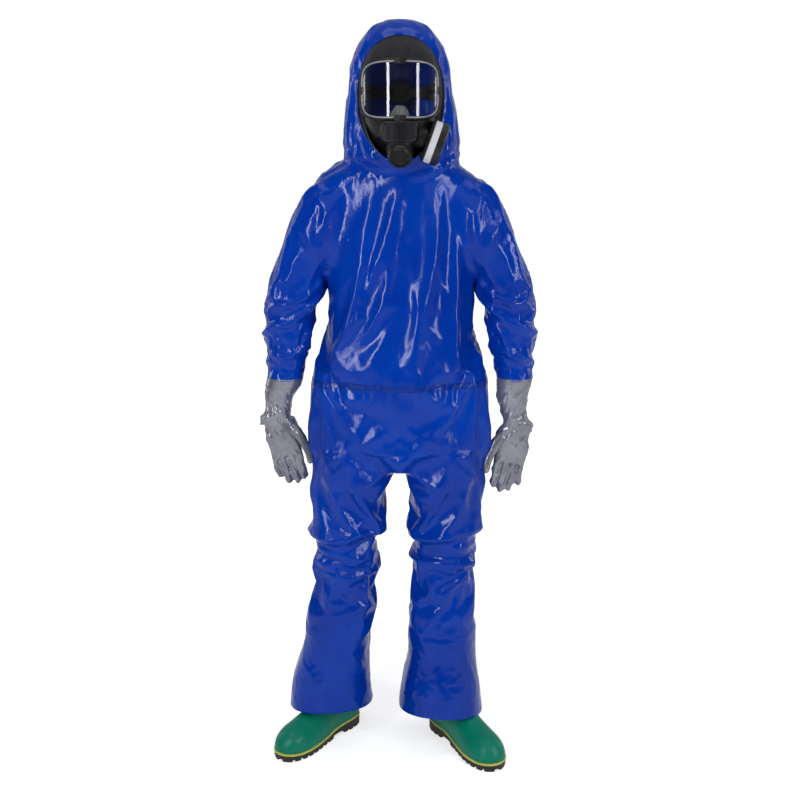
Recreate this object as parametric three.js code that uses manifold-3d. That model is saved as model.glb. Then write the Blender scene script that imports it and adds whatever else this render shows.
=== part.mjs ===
// Chemical protective suit with attached hood, laminate gloves, rubber boots and a full-face respirator.
// Units are millimetres. +Z is up, the suit faces -Y, and +X is the wearer's left.
// The origin is on the floor, at the middle of the suit's bounding box.
import * as THREE from 'three';
import { mergeVertices } from 'three/addons/utils/BufferGeometryUtils.js';
import Module from 'manifold-3d';

const wasm = await Module();
wasm.setup();

// ---------------------------------------------------------------- driving dimensions
const WALL = 3; // thickness that stands for the laminate with its seams
const GAP = 0.4; // clearance between pieces that touch
const SMOOTHING = 0.1; // the largest unevenness that may be flattened away
const OPEN_END = 40; // how far a hollow runs past an open end
const SIDES = 16; // facets round a garment tube
const BODY_POWER = 2.3; // superellipse power of the garment's sections

const WAIST_Z = 962;
const NECK_Z = 1518;
const HOOD_Z = 1550;
const CUFF_Z = 972; // where the sleeve ends and the glove begins
const BACK_Y = 150; // the flat of the back, which carries the zip

const FLOOR_Z = -40; // level of the soles, in the coordinates that the suit is drawn in
// Puts the origin on the floor, under the middle of the bounding box.
const ORIGIN_SHIFT = new THREE.Vector3(7.75, 25.925, -FLOOR_Z);

const JOINTS = {
  elbow: { x: 284, y: 4, z: 1150, gap: 8, closes: 56 },
  knee: { y: -6, z: 495, gap: 8, closes: 51 },
};

// Each leg and foot stands in its own place: the suit stands at ease, with its toes turned out.
const LEGS = {
  right: { side: -1, hipX: -122, kneeX: -143, hemX: -189, heel: [-131, 80], toesOut: 39 },
  left: { side: 1, hipX: 114, kneeX: 116, hemX: 111, heel: [102, 52], toesOut: 31 },
};
const ARMS = {
  right: { side: -1, wristX: 321, wristZ: 876, handTilt: 12 },
  left: { side: 1, wristX: 303, wristZ: 856, handTilt: 8 },
};

// A hand's own frame has its origin at the wrist, with the fingers down.
// Each finger is [distance across, length, radius].
const HAND = {
  knuckleZ: -110,
  thumbX: 44,
  thumbZ: -62,
  fingers: [[-31, 68, 10.5], [-10.5, 86, 11], [10.5, 94, 11], [31, 84, 10.5]],
};

const BOOT = { length: 302, shaftTop: 330, ankle: 106, wall: 4, shaftY: -76 };
const MASK = {
  snoutTop: 1596, radius: 100, axisY: -50, lensTop: 1748, lensBottom: 1619, lensHalf: 92, lensThick: 3,
};
const FILTER = { radius: 52, thick: 42, at: [84, -122, 1561], axis: [0.94, 0, -0.34] };
const ZIP = { bottom: 1000, top: 1440, tapeWidth: 34, chainWidth: 7 };

// ---------------------------------------------------------------- colours and finishes
const finish = (color, roughness, metalness = 0) =>
  new THREE.MeshStandardMaterial({ color, roughness, metalness });
const LOOK = {
  laminate: finish(0x0a3fb8, 0.25),
  tape: finish(0x0b45c4, 0.3),
  glove: finish(0x8f9096, 0.3, 0.35),
  neoprene: finish(0x15151a, 0.8),
  maskRubber: finish(0x17171b, 0.5),
  hardBlack: finish(0x101114, 0.4),
  frameGrey: finish(0x8f9499, 0.35),
  lens: Object.assign(finish(0xdfe8ee, 0.05), { transparent: true, opacity: 0.3 }),
  silicone: finish(0x9aa0a6, 0.5),
  label: finish(0xe9e9ee, 0.5),
  bootGreen: finish(0x05896a, 0.55),
  bootBlack: finish(0x121212, 0.7),
  bootYellow: finish(0xc9b040, 0.6),
  steel: finish(0xa9adb2, 0.35, 0.9),
  whitePlastic: finish(0xd9dbe0, 0.5),
};

// ---------------------------------------------------------------- solids
function solidOf(geometry) {
  const bare = geometry.clone();
  bare.deleteAttribute('normal');
  bare.deleteAttribute('uv');
  const merged = mergeVertices(bare, 1e-3);
  const make = (order) => new wasm.Manifold(new wasm.Mesh({
    numProp: 3,
    vertProperties: new Float32Array(merged.attributes.position.array),
    triVerts: order,
  }));
  const faces = new Uint32Array(merged.index.array);
  const solid = make(faces);
  if (solid.volume() > 0) return solid;
  for (let i = 0; i < faces.length; i += 3) [faces[i + 1], faces[i + 2]] = [faces[i + 2], faces[i + 1]];
  return make(faces);
}

function geometryOf(solid) {
  const mesh = solid.getMesh();
  const geometry = new THREE.BufferGeometry();
  geometry.setAttribute('position', new THREE.BufferAttribute(new Float32Array(mesh.vertProperties), 3));
  geometry.setIndex(new THREE.BufferAttribute(new Uint32Array(mesh.triVerts), 1));
  geometry.computeVertexNormals();
  return geometry;
}

// The one body of a solid, without the slivers that cutting can leave. A second real body is a mistake.
function bodyOf(name, solid) {
  const bodies = solid.simplify(SMOOTHING).decompose().filter((body) => Math.abs(body.volume()) > 1);
  if (bodies.length !== 1) throw new Error(`${name} has ${bodies.length} bodies`);
  return bodies[0];
}

const suit = new THREE.Group();
function add(name, solid, look, group = suit) {
  const mesh = new THREE.Mesh(geometryOf(bodyOf(name, solid)), look);
  mesh.name = name;
  group.add(mesh);
  return mesh;
}

const united = (solids) => solids.reduce((all, one) => all.add(one));
const boxAt = (cx, cy, cz, sx, sy, sz) => solidOf(new THREE.BoxGeometry(sx, sy, sz).translate(cx, cy, cz));

// A station is one section of a tube: its centre, its half width and its half depth.
const at = (x, y, z, halfWidth, halfDepth) =>
  ({ centre: new THREE.Vector3(x, y, z), halfWidth, halfDepth });

function smoothed(stations, count) {
  const path = new THREE.CatmullRomCurve3(stations.map((s) => s.centre), false, 'centripetal');
  const sizes = new THREE.CatmullRomCurve3(
    stations.map((s) => new THREE.Vector3(s.halfWidth, s.halfDepth, 0)), false, 'catmullrom', 0.5);
  return Array.from({ length: count }, (_, i) => {
    const t = i / (count - 1);
    const size = sizes.getPoint(t);
    return { centre: path.getPoint(t), halfWidth: size.x, halfDepth: size.y, along: path.getTangent(t) };
  });
}

// A closed tube through the stations. `across` is the direction that each section's depth follows.
function tube(stations, { count = 9, sides = SIDES, power = BODY_POWER, grow = 0, over = 0,
  across = new THREE.Vector3(0, 1, 0) } = {}) {
  const rings = smoothed(stations, count);
  const first = rings[0];
  const last = rings.at(-1);
  if (over > 0) {
    rings.unshift({ ...first, centre: first.centre.clone().addScaledVector(first.along, -over) });
    rings.push({ ...last, centre: last.centre.clone().addScaledVector(last.along, over) });
  }
  const points = [];
  for (const { centre, halfWidth, halfDepth, along } of rings) {
    const deep = across.clone().addScaledVector(along, -across.dot(along)).normalize();
    const wide = new THREE.Vector3().crossVectors(deep, along).normalize();
    for (let i = 0; i < sides; i++) {
      const a = (2 * Math.PI * i) / sides;
      const c = Math.sign(Math.cos(a)) * Math.abs(Math.cos(a)) ** (2 / power) * (halfWidth + grow);
      const s = Math.sign(Math.sin(a)) * Math.abs(Math.sin(a)) ** (2 / power) * (halfDepth + grow);
      points.push(centre.clone().addScaledVector(wide, c).addScaledVector(deep, s));
    }
  }
  const faces = [];
  for (let r = 0; r + 1 < rings.length; r++) {
    for (let i = 0; i < sides; i++) {
      const a = r * sides + i;
      const b = r * sides + ((i + 1) % sides);
      faces.push(a, b, b + sides, a, b + sides, a + sides);
    }
  }
  const caps = [points.length, points.length + 1];
  points.push(rings[0].centre, rings.at(-1).centre);
  const lastRing = (rings.length - 1) * sides;
  for (let i = 0; i < sides; i++) {
    const next = (i + 1) % sides;
    faces.push(caps[0], next, i, caps[1], lastRing + i, lastRing + next);
  }
  const geometry = new THREE.BufferGeometry().setFromPoints(points);
  geometry.setIndex(faces);
  return solidOf(geometry);
}

// The hollow inside a tube: thinner by the wall, and run on past both ends.
const hollow = (stations, options = {}) =>
  tube(stations, { ...options, grow: -(options.wall ?? WALL), over: OPEN_END });

// Half of space, as a large box: everything on the side of the plane that `normal` points to.
const REACH = 6000;
function half(point, normal) {
  const box = new THREE.BoxGeometry(REACH, REACH, REACH).translate(0, 0, REACH / 2);
  const up = new THREE.Vector3(0, 0, 1);
  const turn = new THREE.Quaternion().setFromUnitVectors(up, normal.clone().normalize());
  return solidOf(box.applyQuaternion(turn).translate(point.x, point.y, point.z));
}
const above = (z) => half(new THREE.Vector3(0, 0, z), new THREE.Vector3(0, 0, 1));
const below = (z) => half(new THREE.Vector3(0, 0, z), new THREE.Vector3(0, 0, -1));

// The part of space that a limb's upper (sign 1) or lower (sign -1) piece may fill beside a hinge across X,
// so that the two pieces clear each other when the joint bends. `closing` is -1 if it closes at the front.
function besideHinge(joint, sign, closing, slack = 0) {
  const edge = new THREE.Vector3(0, 0, joint.z + sign * (joint.gap - slack));
  const square = half(edge, new THREE.Vector3(0, 0, sign));
  const lean = THREE.MathUtils.degToRad(joint.closes);
  const normal = new THREE.Vector3(0, -closing * Math.sin(lean), sign * Math.cos(lean));
  const point = new THREE.Vector3(0, joint.y, joint.z).addScaledVector(normal, -slack);
  return square.intersect(half(point, normal));
}

// Cuts a limb's shell at a hinge into its rigid upper piece, its folding section and its rigid lower piece.
function cutAtHinge(shell, joint, closing) {
  return {
    upper: shell.intersect(besideHinge(joint, 1, closing)),
    fold: shell.subtract(besideHinge(joint, 1, closing, GAP)).subtract(besideHinge(joint, -1, closing, GAP)),
    lower: shell.intersect(besideHinge(joint, -1, closing)),
  };
}

// ---------------------------------------------------------------- garment: torso, sleeves, trousers
const backed = (z, halfWidth, halfDepth) => at(0, BACK_Y - halfDepth, z, halfWidth, halfDepth);
const TORSO = [
  backed(WAIST_Z, 230, 150),
  backed(1010, 224, 148),
  backed(1065, 214, 146),
  backed(1130, 202, 144),
  backed(1200, 191, 142),
  backed(1290, 184, 140),
  backed(1370, 183, 134),
  at(0, 24, 1430, 182, 124),
  at(0, 22, 1485, 178, 112),
  at(0, 17, 1508, 146, 102),
  at(0, 15, NECK_Z, 124, 97),
];
const PELVIS = [
  backed(WAIST_Z, 230, 150),
  backed(900, 236, 153),
  backed(830, 236, 152),
  at(0, 0, 790, 224, 138),
  at(0, 0, 752, 150, 96),
];

function armStations({ side, wristX, wristZ }) {
  return {
    sleeve: [
      at(side * 150, 10, 1392, 84, 82),
      at(side * 186, 10, 1388, 92, 88),
      at(side * 224, 10, 1356, 88, 88),
      at(side * 249, 9, 1296, 72, 80),
      at(side * 268, 7, 1230, 66, 74),
      at(side * 278, 5, 1180, 68, 72),
      at(side * JOINTS.elbow.x, 4, 1120, 68, 70),
      at(side * 289, 0, 1060, 61, 66),
      at(side * 298, -6, CUFF_Z, 48, 54),
    ],
    gauntlet: [
      at(side * 298, -6, CUFF_Z, 47, 53),
      at(side * (wristX - 10), -10, wristZ + 52, 40, 44),
      at(side * wristX, -14, wristZ, 34, 34),
      at(side * (wristX + 2), -16, wristZ - 34, 44, 30),
    ],
  };
}

function legStations({ hipX, kneeX, hemX, heel, toesOut }) {
  const ankleY = heel[1] + BOOT.shaftY * Math.cos(THREE.MathUtils.degToRad(toesOut));
  return [
    at(hipX * 0.92, 0, 850, 100, 128),
    at(hipX, -2, 752, 103, 124),
    at((hipX + kneeX) / 2, -4, 640, 93, 110),
    at(kneeX, -6, 545, 88, 98),
    at(kneeX, -6, 450, 86, 96),
    at(kneeX + (hemX - kneeX) * 0.35, ankleY * 0.3 - 3, 330, 90, 98),
    at(kneeX + (hemX - kneeX) * 0.68, ankleY * 0.7, 210, 92, 104),
    at(hemX, ankleY + 4, 110, 106, 122),
    at(hemX, ankleY + 4, 10, 104, 124),
  ];
}

const torsoSolid = tube(TORSO, { count: 12 });
const torsoClear = tube(TORSO, { count: 12, grow: GAP, over: 4 });
const arms = Object.fromEntries(Object.entries(ARMS).map(([name, arm]) => {
  const stations = armStations(arm);
  return [name, {
    ...arm,
    stations,
    sleeveSolid: tube(stations.sleeve, { count: 12, sides: 14 }),
    sleeveHollow: hollow(stations.sleeve, { count: 12, sides: 14 }),
  }];
}));

function buildTorso() {
  let shell = torsoSolid.subtract(hollow(TORSO, { count: 12 }))
    .intersect(below(NECK_Z)).intersect(above(WAIST_Z));
  for (const arm of Object.values(arms)) shell = shell.subtract(arm.sleeveHollow);
  add('torso_shell', shell, LOOK.laminate);
}

function buildSleeve(name, { side, sleeveSolid, sleeveHollow }) {
  const shell = sleeveSolid.subtract(sleeveHollow).subtract(torsoClear)
    .intersect(half(new THREE.Vector3(side * 150, 0, 0), new THREE.Vector3(side, 0, 0)))
    .intersect(above(CUFF_Z + 1));
  const sleeveTop = new THREE.Vector3(side * 256, 10, 1268);
  const down = new THREE.Vector3(side * 0.24, 0, -1);
  add(`shoulder_section_${name}`, shell.subtract(half(sleeveTop, down)), LOOK.laminate);
  const sleeve = shell.intersect(half(sleeveTop.clone().addScaledVector(down, GAP), down));
  const parts = cutAtHinge(sleeve, JOINTS.elbow, -1);
  add(`upper_sleeve_${name}`, parts.upper, LOOK.laminate);
  add(`elbow_section_${name}`, parts.fold, LOOK.laminate);
  add(`lower_sleeve_${name}`, parts.lower, LOOK.laminate);
}

function buildTrousers() {
  const legs = Object.values(LEGS).map(legStations);
  const outer = united([tube(PELVIS, { count: 8 }), ...legs.map((s) => tube(s, { count: 12 }))]);
  const inner = united([hollow(PELVIS, { count: 8 }), ...legs.map((s) => hollow(s, { count: 12 }))])
    .subtract(boxAt(0, 0, 740, 18, 400, 60));
  const trousers = outer.subtract(inner.intersect(above(748).add(
    united(legs.map((s) => tube(s, { count: 12, grow: -WALL, over: OPEN_END }))))));
  const pelvisBottom = 872;
  const seat = trousers.intersect(above(pelvisBottom)).intersect(below(WAIST_Z - GAP));
  add('trouser_seat', seat, LOOK.laminate);
  for (const [name, leg] of Object.entries(LEGS)) {
    const thighTop = 690;
    const ownSide = half(new THREE.Vector3(leg.side * 0.3, 0, 0), new THREE.Vector3(leg.side, 0, 0));
    const own = trousers.intersect(ownSide).intersect(below(pelvisBottom - GAP));
    add(`hip_section_${name}`, own.intersect(above(thighTop)), LOOK.laminate);
    const parts = cutAtHinge(own.intersect(below(thighTop - GAP)), JOINTS.knee, 1);
    add(`thigh_${name}`, parts.upper, LOOK.laminate);
    add(`knee_section_${name}`, parts.fold, LOOK.laminate);
    const hemTop = 172;
    add(`lower_leg_${name}`, parts.lower.intersect(above(hemTop)), LOOK.laminate);
    const ankleY = leg.heel[1] + BOOT.shaftY;
    const hemPlane = half(new THREE.Vector3(0, ankleY, 76), new THREE.Vector3(0, 0.4, 1));
    const hem = parts.lower.intersect(below(hemTop - GAP)).intersect(hemPlane);
    add(`trouser_hem_${name}`, hem.subtract(bootClearance(leg)), LOOK.laminate);
  }
}

// The welded tape over the waist seam, all round the body.
function buildWaistTape() {
  const band = [at(0, 0, WAIST_Z - 11, 230, 150), at(0, 0, WAIST_Z + 11, 230, 150)];
  const tape = tube(band, { count: 2, grow: 4 }).subtract(tube(band, { count: 2, grow: 2.6, over: 4 }));
  add('waist_seam_tape', tape, LOOK.tape);
}

// ---------------------------------------------------------------- hood and face gasket
const HOOD = [
  at(0, 12, NECK_Z - 4, 140, 118),
  at(0, 12, HOOD_Z, 141, 126),
  at(0, 14, 1600, 139, 131),
  at(0, 16, 1650, 135, 134),
  at(0, 16, 1700, 129, 133),
  at(0, 16, 1753, 121, 126),
  at(0, 15, 1795, 107, 111),
  at(0, 14, 1828, 83, 87),
  at(0, 13, 1848, 50, 53),
  at(0, 12, 1856, 14, 15),
];
const HOOD_OPENING = { x: 2, z: 1661, halfWidth: 110, halfHeight: 152 };

function alongY(shape, fromY, toY, curveSegments = 5) {
  const depth = toY - fromY;
  const geometry = new THREE.ExtrudeGeometry(shape, { depth, bevelEnabled: false, curveSegments });
  return solidOf(geometry.rotateX(Math.PI / 2).translate(0, toY, 0));
}

function ellipseShape(x, z, halfWidth, halfHeight) {
  return new THREE.Shape().absellipse(x, z, halfWidth, halfHeight, 0, 2 * Math.PI);
}

function roundedRect(halfWidth, bottom, top, radius) {
  const shape = new THREE.Shape();
  shape.moveTo(-halfWidth + radius, bottom);
  shape.lineTo(halfWidth - radius, bottom);
  shape.absarc(halfWidth - radius, bottom + radius, radius, -Math.PI / 2, 0);
  shape.lineTo(halfWidth, top - radius);
  shape.absarc(halfWidth - radius, top - radius, radius, 0, Math.PI / 2);
  shape.lineTo(-halfWidth + radius, top);
  shape.absarc(-halfWidth + radius, top - radius, radius, Math.PI / 2, Math.PI);
  shape.lineTo(-halfWidth, bottom + radius);
  shape.absarc(-halfWidth + radius, bottom + radius, radius, Math.PI, 1.5 * Math.PI);
  return shape;
}

const hoodTube = (grow, over = 0) => tube(HOOD, { count: 11, grow, power: 2.1, over });
const filterAxis = new THREE.Vector3(...FILTER.axis).normalize();
function filterCylinder(radius, thick, shift = 0, sides = 20) {
  const turn = new THREE.Quaternion().setFromUnitVectors(new THREE.Vector3(0, 1, 0), filterAxis);
  const centre = new THREE.Vector3(...FILTER.at).addScaledVector(filterAxis, shift);
  return solidOf(new THREE.CylinderGeometry(radius, radius, thick, sides)
    .applyQuaternion(turn).translate(centre.x, centre.y, centre.z));
}

function buildHood() {
  const { x, z, halfWidth, halfHeight } = HOOD_OPENING;
  const opening = alongY(ellipseShape(x, z, halfWidth, halfHeight), -320, -10, 12);
  const inside = tube(HOOD, { count: 11, grow: -WALL, power: 2.1 });
  const stem = tube([at(0, 12, NECK_Z - 60, 137, 115), at(0, 12, NECK_Z + 10, 137, 115)],
    { count: 2, power: 2.1 });
  const filterRoom = filterCylinder(FILTER.radius + 4, FILTER.thick + 8);
  const chinRoom = chinCylinder(34, 120, -70);
  const shell = hoodTube(0).subtract(inside).subtract(stem).subtract(opening)
    .subtract(filterRoom).subtract(chinRoom);
  add('hood_shell', shell.intersect(above(HOOD_Z)), LOOK.laminate);
  add('neck_section', shell.intersect(below(HOOD_Z - GAP)).intersect(above(NECK_Z + GAP)), LOOK.laminate);

  const lining = tube(HOOD, { count: 11, grow: -WALL - GAP, power: 2.1 })
    .subtract(tube(HOOD, { count: 11, grow: -WALL - GAP - 3, power: 2.1 }));
  const faceHole = alongY(maskOutline(1), -320, 0, 4).intersect(above(MASK.snoutTop)).add(snout(1, 30));
  const gasket = lining.intersect(half(new THREE.Vector3(0, -38, 0), new THREE.Vector3(0, -1, 0)))
    .intersect(above(1600)).intersect(below(1836))
    .subtract(faceHole).subtract(filterRoom).subtract(chinRoom);
  add('face_gasket', gasket, LOOK.neoprene);
}

// ---------------------------------------------------------------- respirator
// The facepiece outline seen from the front: the lens's width above, narrowing to the chin.
function maskOutline(grow = 0) {
  const shape = new THREE.Shape();
  const halfOutline = [
    [0, 1757], [52, 1755], [84, 1742], [95, 1705], [94, 1650], [84, 1598], [60, 1552], [34, 1522], [0, 1514],
  ];
  const middle = 1640;
  const grown = halfOutline.map(([x, z]) => [x === 0 ? 0 : x + grow, z + grow * Math.sign(z - middle)]);
  shape.moveTo(...grown[0]);
  shape.splineThru(grown.slice(1).map(([x, z]) => new THREE.Vector2(x, z)));
  shape.splineThru(grown.slice(0, -1).reverse().map(([x, z]) => new THREE.Vector2(-x, z)));
  return shape;
}

function maskBarrel(grow, sides = 28) {
  const radius = MASK.radius + grow;
  return solidOf(new THREE.CylinderGeometry(radius, radius, 400, sides)
    .rotateX(Math.PI / 2).translate(0, MASK.axisY, 1640));
}

// A sheet that lies on the facepiece's round front, between two distances from its surface.
function onMask(shape, from, to, curveSegments = 4) {
  const column = alongY(shape, -320, MASK.axisY - 8, curveSegments);
  return maskBarrel(to).subtract(maskBarrel(from)).intersect(column);
}

const FORWARD = new THREE.Vector3(0, -1, 0);
const BACK_OF_MASK = -62;
// The lower part of the facepiece, which holds the outlet, the speech unit and the filter's port.
function snout(grow, longer) {
  const stations = [
    at(0, BACK_OF_MASK + longer, 1564, 64, 54),
    at(0, -98, 1565, 62, 52),
    at(0, -132, 1568, 50, 44),
    at(0, -149 - grow * 1.01, 1570, 38, 33),
  ];
  return tube(stations, { count: 6, sides: 20, power: 2.2, grow, across: new THREE.Vector3(0, 0, 1) });
}

function buildFacepiece() {
  const lensWindow = roundedRect(MASK.lensHalf - 9, MASK.lensBottom + 9, MASK.lensTop - 9, 24);
  const visor = alongY(maskOutline(0), -320, BACK_OF_MASK, 4)
    .intersect(maskBarrel(0)).intersect(above(MASK.snoutTop));
  const visorRoom = alongY(maskOutline(-4), -320, BACK_OF_MASK + 1, 4).intersect(maskBarrel(-4));
  const snoutRoom = snout(-4, 10);
  const body = visor.add(snout(0, 0)).subtract(visorRoom.add(snoutRoom))
    .subtract(alongY(lensWindow, -320, BACK_OF_MASK + 1));
  const chin = chinCylinder(30, 40, -40);
  const port = filterCylinder(22, 34, -FILTER.thick / 2 - 17.6);
  const collars = chin.add(port).subtract(snoutRoom).intersect(half(new THREE.Vector3(0, -76, 0), FORWARD));
  const bores = chinCylinder(25, 62, -60).add(filterCylinder(18, 60, -FILTER.thick / 2 - 20));
  const seat = chinCylinder(25.5, 3, -8).subtract(chinCylinder(14, 6, -9)).add(spoke(-8, 3));
  const filterRoom = filterCylinder(FILTER.radius + 1, FILTER.thick + 1);
  add('mask_facepiece', body.add(collars).subtract(bores).subtract(filterRoom)
    .subtract(half(chinFront(0), chinDirection())).add(seat)
    .intersect(half(new THREE.Vector3(0, BACK_OF_MASK, 0), FORWARD)), LOOK.maskRubber);

  const outline = roundedRect(MASK.lensHalf, MASK.lensBottom, MASK.lensTop, 30);
  add('mask_lens', onMask(outline, GAP, GAP + MASK.lensThick), LOOK.lens);
  const rim = onMask(roundedRect(MASK.lensHalf + 4.5, MASK.lensBottom - 4.5, MASK.lensTop + 4.5, 33),
    GAP, GAP + MASK.lensThick + 3);
  const rimHole = onMask(roundedRect(MASK.lensHalf - 5, MASK.lensBottom + 5, MASK.lensTop - 5, 27), -5, 20);
  const seatShape = roundedRect(MASK.lensHalf + GAP, MASK.lensBottom - GAP, MASK.lensTop + GAP, 30 + GAP);
  const rimSeat = onMask(seatShape, -5, GAP + MASK.lensThick + GAP);
  const frame = rim.subtract(rimHole).subtract(rimSeat);
  const split = (MASK.lensTop + MASK.lensBottom) / 2;
  const clipWidth = 28;
  add('lens_frame_upper', frame.intersect(above(split + 0.5)), LOOK.frameGrey);
  add('lens_frame_lower', frame.intersect(below(split - 0.5)), LOOK.frameGrey);
  for (const [name, z] of [['upper', MASK.lensTop + 1], ['lower', MASK.lensBottom - 1]]) {
    const reach = clipWidth / 2;
    const corners = [[-reach, z - 7], [reach, z - 7], [reach, z + 7], [-reach, z + 7]];
    const shape = new THREE.Shape(corners.map(([x, y]) => new THREE.Vector2(x, y)));
    add(`lens_clip_${name}`, onMask(shape, MASK.lensThick + 3 + 2 * GAP, 9.5), LOOK.hardBlack);
  }
}

// The chin outlet points forward and down.
const CHIN = { at: [0, -146, 1534], drop: 32 };
const chinDirection = () => {
  const drop = THREE.MathUtils.degToRad(CHIN.drop);
  return new THREE.Vector3(0, -Math.cos(drop), -Math.sin(drop));
};
const chinFront = (shift) => new THREE.Vector3(...CHIN.at).addScaledVector(chinDirection(), shift);
function chinCylinder(radius, length, from, topRadius = radius, sides = 20) {
  const turn = new THREE.Quaternion().setFromUnitVectors(new THREE.Vector3(0, 1, 0), chinDirection());
  const middle = chinFront(from + length / 2);
  return solidOf(new THREE.CylinderGeometry(topRadius, radius, length, sides)
    .applyQuaternion(turn).translate(middle.x, middle.y, middle.z));
}

function buildExhalation() {
  const coverLength = 20;
  let cover = chinCylinder(30, coverLength, GAP, 25)
    .subtract(chinCylinder(26, coverLength - 4, GAP - 1, 23));
  const slots = [-13.5, -4.5, 4.5, 13.5];
  const up = new THREE.Vector3(0, 0, 1).addScaledVector(chinDirection(), -chinDirection().z).normalize();
  for (const height of slots) {
    for (const side of [-1, 1]) {
      const centre = chinFront(coverLength - 2).addScaledVector(up, height);
      const slot = new THREE.BoxGeometry(22 - Math.abs(height) * 0.5, 16, 4)
        .rotateX(THREE.MathUtils.degToRad(CHIN.drop)).translate(side * 12.5, centre.y, centre.z);
      cover = cover.subtract(solidOf(slot));
    }
  }
  add('exhalation_cover', cover, LOOK.hardBlack);
  add('exhalation_disc', chinCylinder(18, 1.2, -4.6), LOOK.silicone);
}

// A bar across the exhalation seat that holds the stem of the valve disc.
function spoke(from, length) {
  const middle = chinFront(from + length / 2);
  return solidOf(new THREE.BoxGeometry(30, length, 4).rotateX(THREE.MathUtils.degToRad(CHIN.drop))
    .translate(0, middle.y, middle.z));
}

function buildSpeechUnit() {
  const wide = (top, bottom, z0, z1) => new THREE.Shape(
    [[-bottom, z0], [bottom, z0], [top, z1], [-top, z1]].map(([x, y]) => new THREE.Vector2(x, y)));
  let grille = onMask(wide(39, 28, 1566, 1608), -3, 12).subtract(onMask(wide(35, 25, 1570, 1604), -9, 9))
    .intersect(half(new THREE.Vector3(0, -152.4, 0), FORWARD));
  const louvre = { pitch: 7.4, height: 3.6, first: 1576 };
  for (let i = 0; i < 4; i++) {
    for (const side of [-1, 1]) {
      const z = louvre.first + i * louvre.pitch;
      grille = grille.subtract(boxAt(side * 14, -160, z, 24, 24, louvre.height));
    }
  }
  add('speech_grille', grille, LOOK.hardBlack);
  const turned = new THREE.CylinderGeometry(17, 17, 2, 24).translate(0, MASK.axisY - MASK.radius - 5, 1587);
  add('speech_diaphragm', solidOf(turned), LOOK.steel);
}

function buildNoseCup() {
  const cup = [
    at(0, -66, 1532, 30, 20),
    at(0, -84, 1560, 42, 36),
    at(0, -88, 1590, 40, 36),
    at(0, -84, 1622, 28, 26),
    at(0, -80, 1648, 13, 14),
  ];
  const shell = tube(cup, { count: 7, sides: 16, power: 2 })
    .subtract(tube(cup, { count: 7, sides: 16, power: 2, grow: -2.5 }))
    .subtract(half(new THREE.Vector3(0, -74, 0), new THREE.Vector3(0, 1, 0)));
  const ports = [-1, 1].map((side) => solidOf(new THREE.CylinderGeometry(8, 8, 40, 16)
    .rotateZ(Math.PI / 2).translate(side * 40, -92, 1600)));
  const front = solidOf(new THREE.CylinderGeometry(13, 13, 60, 16).translate(0, -124, 1572));
  add('nose_cup', shell.subtract(united(ports)).subtract(front), LOOK.silicone);
}

function buildFilter() {
  const band = filterCylinder(FILTER.radius, FILTER.thick);
  const thread = filterCylinder(17, 14, -FILTER.thick / 2 - 6.8);
  const groove = filterCylinder(FILTER.radius + 2, 17, -5)
    .subtract(filterCylinder(FILTER.radius - 1.6, 18, -5));
  const intake = united([0, 60, 120, 180, 240, 300].map((angle) => intakeHole(angle)));
  add('filter_canister', band.subtract(groove).subtract(intake).add(thread), LOOK.hardBlack);
  const label = filterCylinder(FILTER.radius + 0.2, 16, -5)
    .subtract(filterCylinder(FILTER.radius - 1.6 + GAP, 18, -5));
  add('filter_label', label, LOOK.label);
}

function intakeHole(angle) {
  const turn = new THREE.Quaternion().setFromUnitVectors(new THREE.Vector3(0, 1, 0), filterAxis);
  const away = new THREE.Vector3(26, 0, 0)
    .applyAxisAngle(new THREE.Vector3(0, 1, 0), THREE.MathUtils.degToRad(angle));
  const centre = new THREE.Vector3(...FILTER.at).addScaledVector(filterAxis, FILTER.thick / 2)
    .add(away.applyQuaternion(turn));
  return solidOf(new THREE.CylinderGeometry(7, 7, 12, 8).applyQuaternion(turn)
    .translate(centre.x, centre.y, centre.z));
}

// Rubber straps from the facepiece's edge round to a pad at the back of the head.
function buildHarness() {
  const pad = solidOf(new THREE.CylinderGeometry(30, 30, 3, 24).translate(0, 104, 1690));
  const anchors = [[86, -52, 1730], [90, -52, 1640]];
  const straps = [];
  for (const side of [-1, 1]) {
    for (const [x, y, z] of anchors) {
      const path = new THREE.CatmullRomCurve3([
        new THREE.Vector3(side * x, y, z),
        new THREE.Vector3(side * 104, 10, (z + 1690) / 2 + 6),
        new THREE.Vector3(side * 84, 70, (z + 3 * 1690) / 4 + 3),
        new THREE.Vector3(side * 20, 104, 1690),
      ]);
      straps.push(strapAlong(path));
    }
  }
  add('head_harness', united([pad, ...straps]), LOOK.maskRubber);
}

function strapAlong(path, width = 16, thick = 2.4) {
  const [t, w] = [thick / 2, width / 2];
  const corners = [[-t, -w], [t, -w], [t, w], [-t, w]];
  const section = new THREE.Shape(corners.map(([x, y]) => new THREE.Vector2(x, y)));
  return solidOf(new THREE.ExtrudeGeometry(section, { steps: 8, bevelEnabled: false, extrudePath: path }));
}

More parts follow.
